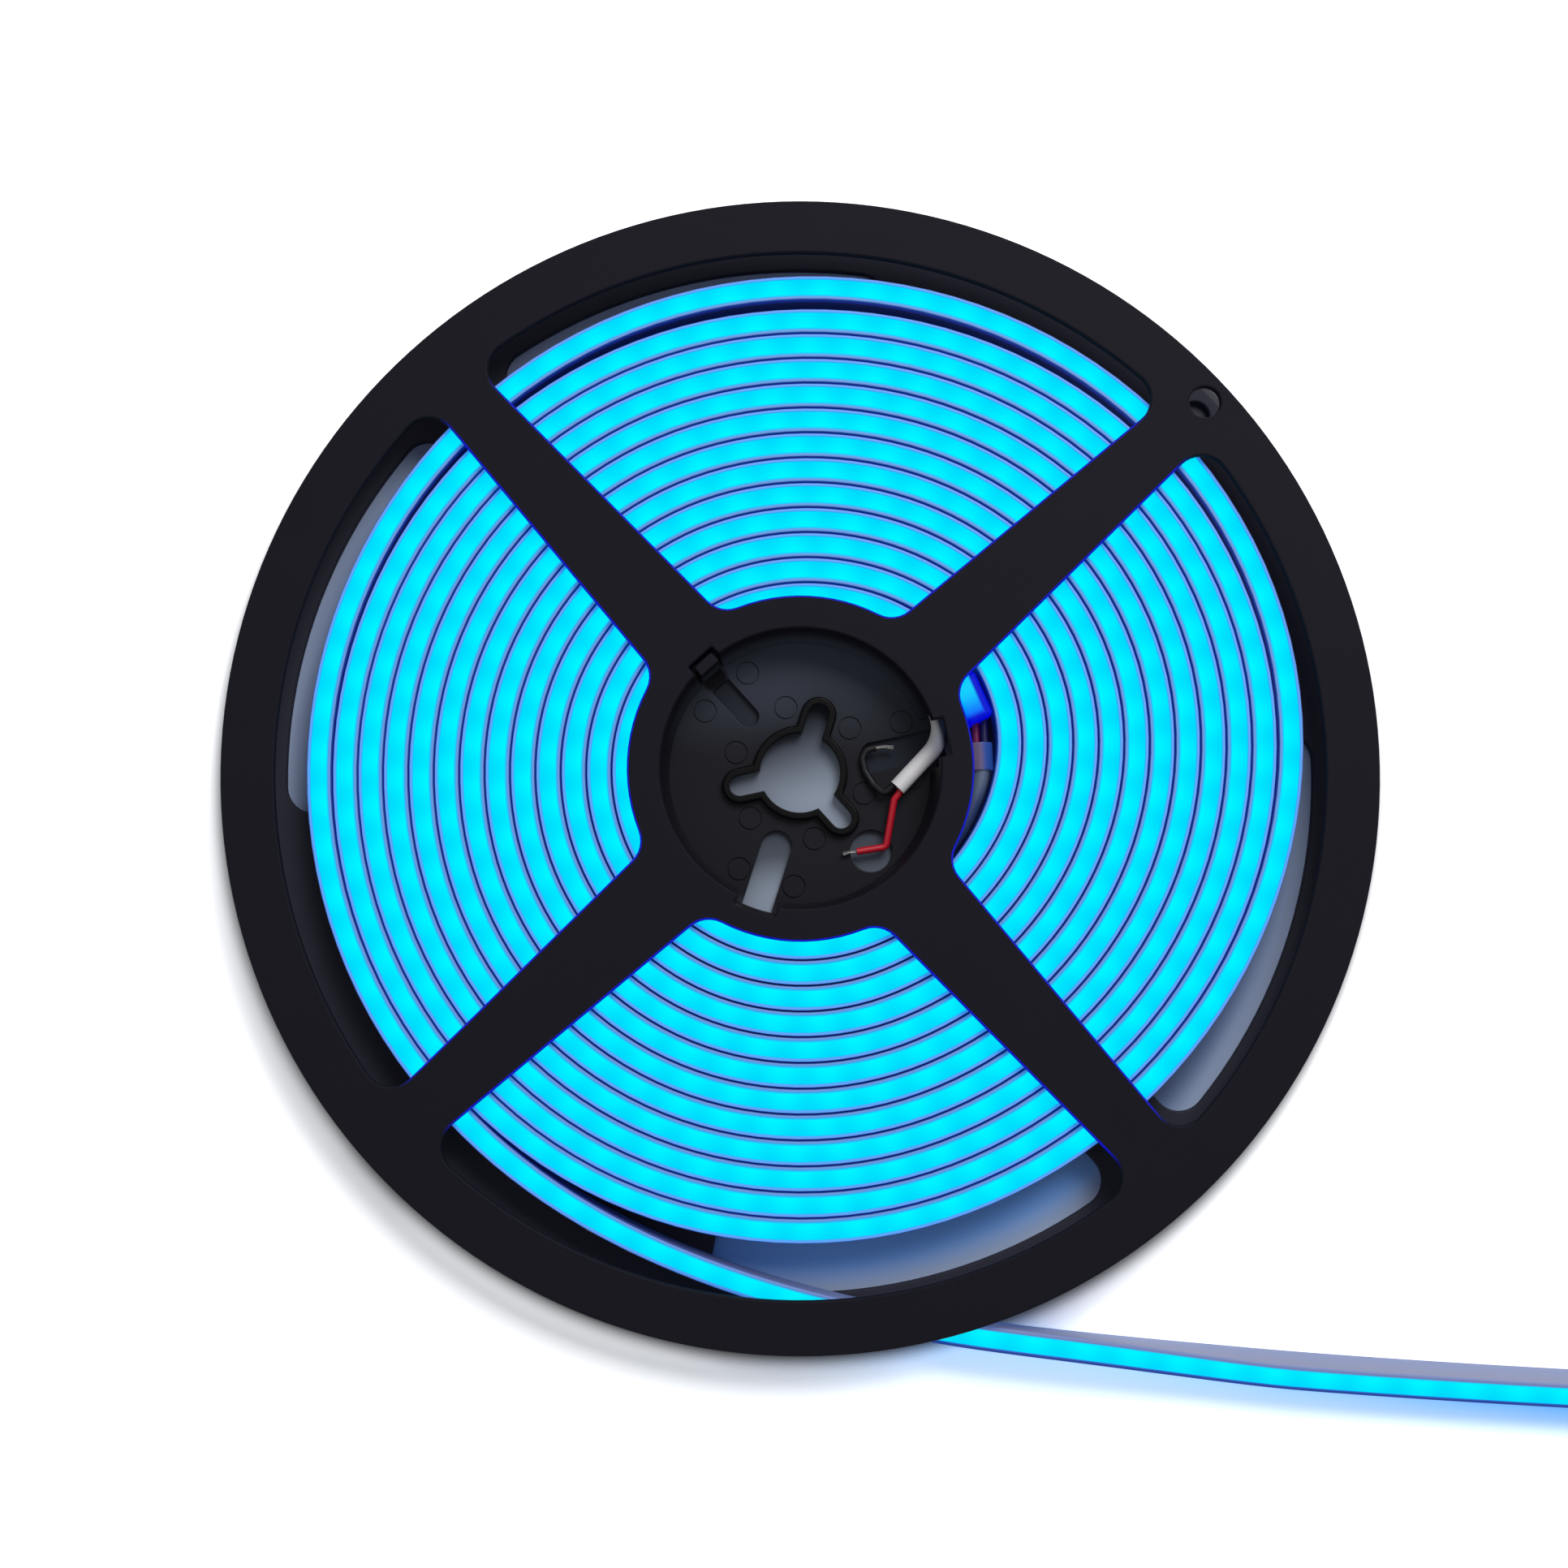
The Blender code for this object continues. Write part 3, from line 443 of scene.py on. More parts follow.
def collar():
    """The lining of the well, narrower at its foot."""
    foot, top = FLOOR + SEAT_GAP, UPPER_UNDERSIDE + FLANGE / 2
    piece = drum("collar", WELL_FOOT_RADIUS + COLLAR_WALL, foot, top, sides=144)
    widen_top(piece, top, (WELL_RADIUS + COLLAR_WALL) / (WELL_FOOT_RADIUS + COLLAR_WALL))
    bore = drum("collar_bore", WELL_FOOT_RADIUS, foot, top, sides=144)
    widen_top(bore, top, (WELL_RADIUS - 0.02 * MM) / WELL_FOOT_RADIUS)
    bore.scale.z = 1.02
    bore.location.z = -0.1 * MM
    return combine(piece, settle(bore))


def widen_top(piece, top, share):
    select_where(piece, "VERT", lambda vertex: abs(vertex.co.z - top) < SAME_HEIGHT)
    bpy.ops.transform.resize(value=(share, share, 1), center_override=(0, 0, top))
    bpy.ops.object.mode_set(mode="OBJECT")


def lower_half():
    reach = (-OVERCUT, FLANGE + OVERCUT)
    label, spoke = SPOKE_ANGLE, SPOKE_ANGLE + 90 * DEG
    edge = (0, 0)
    before = window_cutter("window_before_spoke", label + LABEL_HALF_ANGLE, edge,
                           spoke, LOWER_SPOKE_WIDTHS, *reach)
    after = window_cutter("window_after_spoke", spoke, LOWER_SPOKE_WIDTHS,
                          spoke + 90 * DEG - LABEL_HALF_ANGLE, edge, *reach)
    windows = [before, after]
    windows += [copied(window, window.name + "_2", 180 * DEG) for window in (before, after)]
    piece = flange("lower_flange", 0, windows)
    round_edges(piece, LIP)
    combine(piece, drum("well_recess", RECESS_RADIUS, FLOOR, FLANGE + OVERCUT, sides=144))
    rim_top = FLOOR + ARBOR_RIM_HEIGHT
    rim = keyed_prism("arbor_rim", ARBOR_RIM_WIDTH, FLOOR / 2, rim_top)
    round_edges(rim, ARBOR_RIM_EDGE, test=lambda edge: at_height(edge, rim_top))
    combine(piece, rim, "UNION")
    for number, (width, end) in enumerate(zip(SLOT_WIDTHS, SLOT_ENDS)):
        angle = HUB_ANGLE + number * 120 * DEG
        combine(piece, slot_prism("floor_slot_%d" % (number + 1), width, end, angle, *reach))
    drain_place = on_circle(DRAIN_CENTRE, SPOKE_ANGLE + 270 * DEG)
    combine(piece, drum("floor_hole", DRAIN_RADIUS, *reach, drain_place))
    combine(piece, keyed_prism("arbor_hole", 0, -OVERCUT, rim_top + OVERCUT))

    def on_floor(edge):
        inside = all(vertex.co.xy.length < RECESS_RADIUS - MM for vertex in edge.verts)
        return inside and (at_height(edge, FLOOR) or at_height(edge, rim_top))

    round_edges(piece, FLOOR_EDGE, 2, on_floor)
    combine(piece, pin_marks())
    return combine(piece, latch_tongue(), "UNION")


def pin_marks():
    """Twelve fine rings that the mould's ejector pins leave in the floor."""
    low = FLOOR - PIN_MARK_DEPTH
    marks = []
    for i in range(6):
        hand = PIN_SPREAD if i % 2 else -PIN_SPREAD
        for place in (on_circle(PIN_CIRCLE_INNER, SPOKE_ANGLE + i * 60 * DEG),
                      on_circle(PIN_CIRCLE_OUTER, HUB_ANGLE + (i // 2) * 120 * DEG + hand)):
            marks.append(pipe("pin_mark", PIN_MARK_RADIUS, PIN_MARK_LINE, low, low + MM, place, 36))
    return joined(marks)


def latch_tongue():
    """The tongue that rises through the second notch and holds the halves together."""
    root, top = WELL_FOOT_RADIUS + 0.2 * MM, UPPER_TOP - SEAT_GAP
    place = (*on_circle(root + TONGUE_THICKNESS / 2, LATCH_ANGLE), (top + FLOOR / 2) / 2)
    size = (TONGUE_THICKNESS, TONGUE_WIDTH, top - FLOOR / 2)
    stem = block("latch_stem", size, place, LATCH_ANGLE, 0.15 * MM)
    deep = TONGUE_THICKNESS + TONGUE_HEAD
    place = (*on_circle(root + deep / 2, LATCH_ANGLE), top - TONGUE_HOOK / 2)
    size = (deep, TONGUE_WIDTH, TONGUE_HOOK)
    return combine(stem, block("latch_hook", size, place, LATCH_ANGLE, 0.35 * MM), "UNION")


# Strip: the winding's rule, in finer steps than the solids have

def smoothstep(value):
    value = min(max(value, 0.0), 1.0)
    return value * value * (3 - 2 * value)


def hump(angle, middle, spread):
    return math.exp(-((angle - middle) / spread) ** 2 / 2)


def turn_radius(angle):
    """Radius of the strip's middle at an angle counted on through all its turns.
    Each turn drifts outwards a little and then climbs over the start of the one before."""
    quiet, drift_end, climb_end = 100 * DEG, 290 * DEG, 378 * DEG
    drift = 0.75 * MM
    turns, local = divmod(angle - quiet, 2 * math.pi)
    local += quiet
    climbed = drift * min((local - quiet) / (drift_end - quiet), 1)
    climbed += (TURN_PITCH - drift) * smoothstep((local - drift_end) / (climb_end - drift_end))
    wound = angle / (2 * math.pi)
    height, spread = (2.75 + 0.045 * wound) * MM, (27 + 0.5 * wound) * DEG
    bulge_angle = 388 * DEG
    bulge = height * sum(hump(local, bulge_angle + turn, spread) for turn in (-2 * math.pi, 0))
    dip = 0.5 * MM * hump(angle, START_ANGLE, 14 * DEG)
    slack = 1.5 * MM * hump(angle, FULL_TURNS * 2 * math.pi + 88 * DEG, 40 * DEG)
    return FIRST_TURN_RADIUS + turns * TURN_PITCH + climbed + bulge - dip + slack


def bezier(start, start_handle, end_handle, end, t):
    s = 1 - t
    return start * s ** 3 + start_handle * 3 * s * s * t + end_handle * 3 * s * t * t + end * t ** 3


def strip_route():
    """Every station of the strip: its foot's middle, its lean, and how far it lies free."""
    last_angle = FULL_TURNS * 2 * math.pi + LEAVE_ANGLE
    count = round((last_angle - START_ANGLE) / TURN_STEP)
    angles = [START_ANGLE + (last_angle - START_ANGLE) * i / count for i in range(count + 1)]
    places = [Vector((*on_circle(turn_radius(a), a), STRIP_FOOT)) for a in angles]
    leave = (places[-1] - places[-2]).normalized()
    crossing, end = Vector((*TAIL_CROSSING, STRIP_FOOT)), Vector((*TAIL_END, STRIP_FOOT))
    across, away = Vector((1, -0.115, 0)).normalized(), Vector((1, -0.05, 0)).normalized()
    for first, way_in, last, way_out in ((places[-1], leave, crossing, across),
                                         (crossing, across, end, away)):
        third = (last - first).length / 3
        handles = first + way_in * third, last - way_out * third
        for i in range(1, TAIL_STEPS + 1):
            places.append(bezier(first, *handles, last, i / TAIL_STEPS))
    route = []
    for place in places:
        beyond = place.xy.length - REEL_RADIUS - 3 * MM
        drop = smoothstep(beyond / TAIL_DROP_RUN)
        lean = TAIL_LEAN * smoothstep(beyond / TAIL_LEAN_RUN)
        height = STRIP_FOOT * (1 - drop) + STRIP_WIDTH / 2 * math.sin(lean)
        free = smoothstep(beyond / TAIL_FREE_RUN + 1)
        route.append((Vector((place.x, place.y, height)) + AXIS, lean, free))
    return route


def quarter(x, y, radius, start, count=3):
    """A quarter round about x, y, counterclockwise from a start angle in degrees."""
    corner = []
    for i in range(count + 1):
        angle = (start + 90 * i / count) * DEG
        corner.append((x + radius * math.cos(angle), y + radius * math.sin(angle)))
    return corner


def jacket_section():
    """A channel with soft lips."""
    half, top, inner = STRIP_WIDTH / 2, STRIP_HEIGHT, LIT_WIDTH / 2 + 0.02 * MM
    foot, outer_lip, inner_lip = 0.4 * MM, 0.24 * MM, 0.1 * MM
    points = quarter(foot - half, foot, foot, 180) + quarter(half - foot, foot, foot, 270)
    points += quarter(half - outer_lip, top - outer_lip, outer_lip, 0)
    points += quarter(inner + inner_lip, top - inner_lip, inner_lip, 90, 2)
    points += [(inner, JACKET_FLOOR), (-inner, JACKET_FLOOR)]
    points += quarter(-inner - inner_lip, top - inner_lip, inner_lip, 0, 2)
    return points + quarter(outer_lip - half, top - outer_lip, outer_lip, 90)


def filling_section():
    """The milky filling, its top a touch below the lips and softly crowned."""
    half, top = LIT_WIDTH / 2, STRIP_HEIGHT - 0.05 * MM
    points = [(-half, FILLING_FOOT), (half, FILLING_FOOT)]
    for share in (i / 8 for i in range(9)):
        points.append((half - LIT_WIDTH * share, top + 0.04 * MM * math.sin(math.pi * share)))
    return points


def line_curve(name, places, tilts=None, closed=False):
    """A curve object through these places."""
    deselect()
    bpy.ops.curve.primitive_nurbs_path_add()
    piece = named(name)
    curve = piece.data
    curve.splines.clear()
    spline = curve.splines.new("POLY")
    spline.points.add(len(places) - 1)
    for point, place, tilt in zip(spline.points, places, tilts or [0] * len(places)):
        point.co = (*place, 1)
        point.tilt = tilt
    spline.use_cyclic_u = closed
    return piece


def sweep(name, route, section):
    """Carry a section upright along the route.
    Every point keeps how far along, across and up it lies, and how free the strip is there."""
    section = list(reversed(section))
    guide = line_curve(name + "_section", [(x, y, 0) for x, y in section], closed=True)
    guide.data.dimensions = "2D"
    piece = line_curve(name, [station[0] for station in route], [station[1] for station in route])
    curve = piece.data
    curve.twist_mode = "Z_UP"
    curve.bevel_mode = "OBJECT"
    curve.bevel_object = guide
    curve.use_fill_caps = True
    pick(piece)
    bpy.ops.object.convert(target="MESH")
    piece = named(name)
    bpy.data.objects.remove(guide, do_unlink=True)
    runs = [0.0]
    for (before, *_), (after, *_) in zip(route, route[1:]):
        runs.append(runs[-1] + (after - before).length)
    fields = {"run": [], "side": [], "up": [], "free": []}
    for index in range(len(piece.data.vertices)):
        station, corner = divmod(index, len(section))
        station = min(station, len(route) - 1)
        values = (runs[station], *section[corner], route[station][2])
        for field, value in zip(fields.values(), values):
            field.append(value)
    for field, values in fields.items():
        piece.data.attributes.new(field, "FLOAT", "POINT").data.foreach_set("value", values)
    return clean(piece)


def cap_frames(route):
    """Middle, heading, lean and size of the two end caps."""
    half_turned = INNER_CAP[0] / 2 / turn_radius(START_ANGLE)
    back = Vector((*on_circle(1, START_ANGLE - 90 * DEG - half_turned), 0))
    seat = SEAT_GAP + INNER_CAP[1] / 2 * math.sin(half_turned)
    start = route[0][0]
    middle = Vector((start.x, start.y, CAP_MIDDLE)) + back * (seat + INNER_CAP[0] / 2)
    (before, *_), (end, lean, _) = route[-2:]
    way = end - before
    way.z = 0
    way.normalize()
    turn = Matrix.Rotation(heading(way), 3, "Z") @ Matrix.Rotation(lean, 3, "X")
    outer = end + way * (SEAT_GAP + OUTER_CAP_LENGTH / 2) + turn @ Vector((0, 0, STRIP_HEIGHT / 2))
    outer_size = (OUTER_CAP_LENGTH, STRIP_WIDTH, STRIP_HEIGHT)
    return (middle, back, 0, INNER_CAP), (outer, way, lean, outer_size)


# Lead

def collar_run_radius():
    """Radius at which the lead's middle clears the tapered collar."""
    share = (LEAD_LOW + LEAD_DIAMETER / 2 - FLOOR) / (UPPER_UNDERSIDE - FLOOR)
    wall = WELL_FOOT_RADIUS + COLLAR_WALL + (WELL_RADIUS - WELL_FOOT_RADIUS) * share
    return wall + LEAD_SIDE_GAP + LEAD_DIAMETER / 2


def lead_route(start, way):
    """From behind the cap, round under the first turn and through the collar's window.
    Its points, the start too, are reckoned from the reel's axis."""
    turn_middle = on_circle(collar_run_radius() - LEAD_TURN_RADIUS, LEAD_TURN_ANGLE)
    points = [start, start + way * SLEEVE_LENGTH / 2]
    start = start + way * SLEEVE_LENGTH
    start_angle = heading(start)
    finish_angle = LEAD_TURN_ANGLE - 2 * math.pi
    count = round((start_angle - finish_angle) / (3 * DEG))
    for i in range(count + 1):
        angle = start_angle + (finish_angle - start_angle) * i / count
        share = smoothstep((start_angle - angle) / (95 * DEG))
        first_turn = turn_radius(angle + 2 * math.pi) - STRIP_WIDTH / 2
        under_turn = max(first_turn - LEAD_DIAMETER / 2 - LEAD_SLACK, collar_run_radius())
        sprung = start.xy.length * (1 - share) + under_turn * share
        home = smoothstep((angle - finish_angle) / LEAD_HOMING)
        radius = min(sprung * home + collar_run_radius() * (1 - home), under_turn)
        points.append(Vector((*on_circle(radius, angle), start.z * (1 - share) + LEAD_LOW * share)))
    count = 14
    last = LEAD_END_HEADING + 90 * DEG
    for i in range(1, count + 1):
        angle = LEAD_TURN_ANGLE + (last - LEAD_TURN_ANGLE) * i / count
        points.append(Vector((*on_circle(LEAD_TURN_RADIUS, angle, turn_middle), LEAD_LOW)))
    way = Vector((*on_circle(1, LEAD_END_HEADING), 0))
    return points + [points[-1] + way * LEAD_RUN_IN_WELL * share for share in (0.5, 1)]


def thick_line(name, points, diameter, resolution):
    """A curve through points, with a round section and closed ends."""
    piece = line_curve(name, points)
    piece.data.bevel_depth = diameter / 2
    piece.data.bevel_resolution = resolution
    piece.data.use_fill_caps = True
    return piece


def eased(points, rounds):
    """Soften the corners of a route, its ends kept."""
    for _ in range(rounds):
        cut = [points[0]]
        for before, after in zip(points, points[1:]):
            cut += [before.lerp(after, 0.25), before.lerp(after, 0.75)]
        points = cut + [points[-1]]
    return points


def strands(name, points, node, finish):
    """A tinned bundle of seven twisted strands, which opens a little towards its tip."""
    route = eased(points, 3)
    lengths = [0.0]
    for before, after in zip(route, route[1:]):
        lengths.append(lengths[-1] + (after - before).length)
    lines = []
    for number in range(STRANDS_ROUND + 1):
        uneven = 1 + 0.5 * math.sin(number * 2.4)
        line = []
        for i, (place, length) in enumerate(zip(route, lengths)):
            opened = 1.0 + 0.45 * length / lengths[-1] * uneven
            spread = STRAND_DIAMETER * opened if number < STRANDS_ROUND else 0
            angle = number * 60 * DEG + length / STRAND_LAY
            ahead = route[min(i + 1, len(route) - 1)] - route[max(i - 1, 0)]
            side = Vector((-ahead.y, ahead.x, 0)).normalized()
            up = Vector((0, 0, 1))
            line.append(place + (side * math.cos(angle) + up * math.sin(angle)) * spread)
        pick(thick_line("strand", line, STRAND_DIAMETER, 2))
        bpy.ops.object.convert(target="MESH")
        lines.append(named("strand"))
    piece = joined(lines)
    piece.name = piece.data.name = name
    return show(clean(piece), node, "tinned_copper", finish)


def build_lead(cap_face, finishes):
    """Sheath, clear sleeve, and the two cores at both ends."""
    way = Vector((*on_circle(1, LEAD_HEADING), 0))
    stub_end = cap_face + way * CORE_STUB
    route = [point + AXIS for point in lead_route(stub_end + way * SEAT_GAP - AXIS, way)]
    sheath = thick_line("lead_sheath_white", route, LEAD_DIAMETER, 5)
    show(sheath, "lead_sheath", "sheath_white", finishes["sheath"])
    half_sleeve = SLEEVE_LENGTH / 2
    sleeve = pipe("sleeve", SLEEVE_DIAMETER / 2, SLEEVE_WALL, -half_sleeve, half_sleeve)
    round_edges(sleeve, 0.12 * MM, 2)
    sleeve.rotation_euler = (90 * DEG, 0, LEAD_HEADING + 90 * DEG)
    sleeve.location = route[0] + way * half_sleeve
    finish = sleeve_finish(sleeve.location.copy())
    settle(sleeve).name = "clear_shrink_sleeve"
    show(sleeve, "shrink_sleeve", "clear_sleeve", finish)

    side = Vector((-way.y, way.x, 0)) * CORE_SPACING / 2
    going = [sleeve]
    for colour, hand in (("red", -1), ("black", 1)):
        ends = [cap_face + side * hand - way * CORE_INTO_CAP,
                stub_end + side * hand + way * CORE_INTO_SLEEVE]
        core = thick_line(colour + "_core_stub", ends, CORE_DIAMETER, 5)
        show(core, colour + "_core_at_cap", "core_" + colour, finishes[colour + "_stub"])
        going.append(core)

    end, way = route[-1], (route[-1] - route[-2]).normalized()
    across = Vector((-way.y, way.x, 0)).normalized()
    low, high = FLOOR + SEAT_GAP + CORE_DIAMETER / 2, end.z - 0.3 * MM

    def beside(along, aside, height=low):
        """A point so many millimetres past the sheath's end and to its left."""
        place = end + (way * along + across * aside) * MM
        return Vector((place.x, place.y, height))

    start, side = end - way * CORE_INTO_SHEATH, across * CORE_SPACING / 2
    routes = {"red": [start + side, beside(1.9, 1.0, high), beside(8.9, 5.6), beside(13.0, 2.4)],
              "black": [start - side, beside(2.35, -1.0, high), beside(2.3, -3.6, low + 0.3 * MM),
                        beside(1.6, -6.2), beside(0.3, -8.1), beside(-1.2, -8.6),
                        beside(-2.8, -7.7)]}
    tips = {"red": [beside(12.8, 2.55), beside(14.1, 1.4), beside(15.0, 0.9)],
            "black": [beside(-2.6, -7.8), beside(-4.05, -6.6), beside(-4.9, -5.4)]}
    for colour, points in routes.items():
        core = thick_line(colour + "_core", bent(points, CORE_BEND_RADIUS), CORE_DIAMETER, 5)
        show(core, colour + "_core_end", "core_" + colour, finishes[colour])
        bundle = strands(colour + "_tinned_strands", tips[colour], colour + "_core_strands",
                         finishes["tinned"])
        going += [core, bundle]
    length = sum((after - before).length for before, after in zip(route, route[1:]))


def bent(corners, radius, step=9 * DEG):
    """A route whose corners are bent to a radius."""
    points = [corners[0]]
    for before, corner, after in zip(corners, corners[1:], corners[2:]):
        way_in, way_out = (corner - before).normalized(), (after - corner).normalized()
        turn = way_in.angle(way_out)
        side = (way_out - way_in * way_out.dot(way_in)).normalized()
        run = radius * math.tan(turn / 2)
        count = max(2, round(turn / step))
        for i in range(count + 1):
            angle = turn * i / count
            swing = way_in * math.sin(angle) + side * (1 - math.cos(angle))
            points.append(corner - way_in * run + swing * radius)
    return points + [corners[-1]]


# Finishes

class Value:
    """A socket that is reckoned with as a number is."""

    def __init__(self, tree, socket):
        self.tree = tree
        self.socket = socket

    def node(self, kind, inputs, output=0, **settings):
        """Any node: its settings first, then the values or links of its sockets."""
        made = self.tree.nodes.new("ShaderNode" + kind)
        for key, value in settings.items():
            setattr(made, key, value)
        for key, value in inputs.items():
            if isinstance(value, Value):
                self.tree.links.new(value.socket, made.inputs[key])
            else:
                made.inputs[key].default_value = value
        return Value(self.tree, made.outputs[output])

    def maths(self, operation, first, second=0.0):
        return self.node("Math", {0: first, 1: second}, operation=operation)

    def __add__(self, other):
        return self.maths("ADD", self, other)

    def __sub__(self, other):
        return self.maths("SUBTRACT", self, other)

    def __mul__(self, other):
        return self.maths("MULTIPLY", self, other)

    def __truediv__(self, other):
        return self.maths("DIVIDE", self, other)

    def __radd__(self, other):
        return self.maths("ADD", other, self)

    def __rsub__(self, other):
        return self.maths("SUBTRACT", other, self)

    def between(self, low, high, ease=True):
        """0 below low and 1 above high. With high below low it falls instead."""
        kind = "SMOOTHSTEP" if ease else "LINEAR"
        inputs = {"Value": self, "From Min": min(low, high), "From Max": max(low, high)}
        risen = self.node("MapRange", inputs, interpolation_type=kind)
        return risen if high > low else 1 - risen

    def mix(self, first, second):
        """From the first colour to the second, by this value."""
        inputs = {0: self, 6: rgba(first), 7: rgba(second)}
        return self.node("Mix", inputs, output=2, data_type="RGBA")


def rgba(colour):
    return colour if isinstance(colour, Value) else (*colour, 1)


class Finish:
    """A new material and what feeds its shader."""

    def __init__(self, name, colour, roughness, **sockets):
        self.material = bpy.data.materials.new(name)
        self.material.use_nodes = True
        self.tree = self.material.node_tree
        self.shader = self.tree.nodes["Principled BSDF"]
        self.start = Value(self.tree, None)
        self.set("Base Color", colour)
        self.set("Roughness", roughness)
        for key, value in sockets.items():
            self.set(key.replace("_", " "), value)

    def set(self, socket, value):
        if isinstance(value, Value):
            self.tree.links.new(value.socket, self.shader.inputs[socket])
        elif isinstance(value, tuple):
            self.shader.inputs[socket].default_value = (*value, 1)
        else:
            self.shader.inputs[socket].default_value = value

    def place(self):
        """Object coordinates as x, y, z and the whole."""
        whole = self.start.node("TexCoord", {}, output="Object")
        parts = [self.start.node("SeparateXYZ", {0: whole}, output=i) for i in range(3)]
        return (*parts, whole)

    def field(self, name):
        return self.start.node("Attribute", {}, output="Fac", attribute_name=name)

    def distance(self, x, y, centre):
        """How far each point lies from an upright line through a centre."""
        dx, dy = x - centre.x, y - centre.y
        return self.start.maths("SQRT", dx * dx + dy * dy)

    def noise(self, where, scale, detail=2.0, roughness=0.5):
        inputs = {"Vector": where, "Scale": scale, "Detail": detail, "Roughness": roughness}
        return self.start.node("TexNoise", inputs)

    def bump(self, height, strength, distance):
        inputs = {"Height": height, "Strength": strength, "Distance": distance}
        self.set("Normal", self.start.node("Bump", inputs))


def reel_plastic():
    """Near-black moulded plastic with a fine grain, glossier in the well.
    Painted light lifts the lower flange and the well's far side, a painted shadow
    lies under the latch, and the upper lips carry a painted blue glow beside the strip."""
    finish = Finish("reel_plastic_black", (0.0112, 0.0104, 0.0136), 0.6, Emission_Strength=1.0)
    finish.set("Specular IOR Level", 0.10)
    x, y, z, where = finish.place()
    radius = finish.distance(x, y, AXIS)
    in_well = radius.between(WELL_RADIUS + MM, WELL_RADIUS - MM)
    in_well = in_well * z.between(UPPER_UNDERSIDE, FLOOR + 2 * MM)
    on_rim = radius.between(*ARBOR_RIM_RING) * z.between(FLOOR + 0.3 * MM, FLOOR + 0.7 * MM)
    grain = finish.noise(where, 2600, 3, 0.6)
    broad = finish.noise(where, 60)
    finish.bump(grain, 0.22 + on_rim * 0.4, 0.05 * MM)
    finish.set("Roughness", 0.56 + grain * 0.12 - in_well * 0.22)

    flange_colour = broad.mix((0.0068, 0.0062, 0.0118), (0.0082, 0.0076, 0.0134))
    # Painted light: the lower flange is painted lighter than the upper one, for fill light reaching
    # it through the windows
    flange_colour = z.between(FLANGE + MM, FLANGE).mix(flange_colour, (0.030, 0.030, 0.045))
    # Painted light: the well floor is painted lighter towards its far (+y) side, which the collar
    # leaves in shade
    shaded_side = y.between(AXIS.y + 2 * MM, AXIS.y + 21 * MM)
    well_colour = shaded_side.mix((0.0120, 0.0118, 0.0165), (0.0520, 0.0600, 0.0860))
    # Painted shadow: a dark patch on the floor under the latch tongue
    latch = AXIS + Vector((*on_circle(LATCH_SHADE_RADIUS, LATCH_ANGLE), 0))
    under_latch = finish.distance(x, y, latch).between(*LATCH_SHADE)
    under_latch = under_latch * z.between(FLOOR + MM, FLOOR + 0.5 * MM)
    well_colour = under_latch.mix(well_colour, (0.0060, 0.0060, 0.0100))
    well_colour = on_rim.mix(well_colour, (0.0030, 0.0030, 0.0036))
    finish.set("Base Color", in_well.mix(flange_colour, well_colour))

    # Painted glow: the upper flange's lip edges beside the strip glow deep blue by emission
    lip = z.between(UPPER_TOP - 0.002 * MM, UPPER_TOP - LIP / 12)
    lip = lip * z.between(UPPER_UNDERSIDE, UPPER_TOP - LIP)
    beside_strip = radius.between(*LIT_LIPS_INNER) * radius.between(*LIT_LIPS_OUTER)
    finish.set("Emission Color", (lip * beside_strip).mix((0.0, 0.0, 0.0), (0.0, 0.002, 0.50)))
    return finish.material


def lit_filling():
    """The milky filling, brighter over each diode and paler towards the middle of the reel."""
    finish = Finish("lit_filling_cyan", (0.0, 0.02, 0.03), 0.5, Emission_Strength=1.0)
    finish.set("Specular IOR Level", 0.0)
    run, side = finish.field("run"), finish.field("side")
    wave = finish.start.maths("COSINE", run * (2 * math.pi / DIODE_PITCH))
    spot = wave * 0.5 + 0.5
    across = side / LIT_WIDTH + 0.5
    outer = spot.mix((0.0, 0.68, 0.95), (0.0, 0.78, 0.98))
    inner = spot.mix((0.0, 0.80, 0.96), (0.0, 0.92, 0.99))
    face = across.between(0.1, 0.9, False).mix(inner, outer)
    edge = across.between(0.10, 0.02)
    finish.set("Emission Color", edge.mix(face, (0.01, 0.62, 0.97)))
    return finish.material


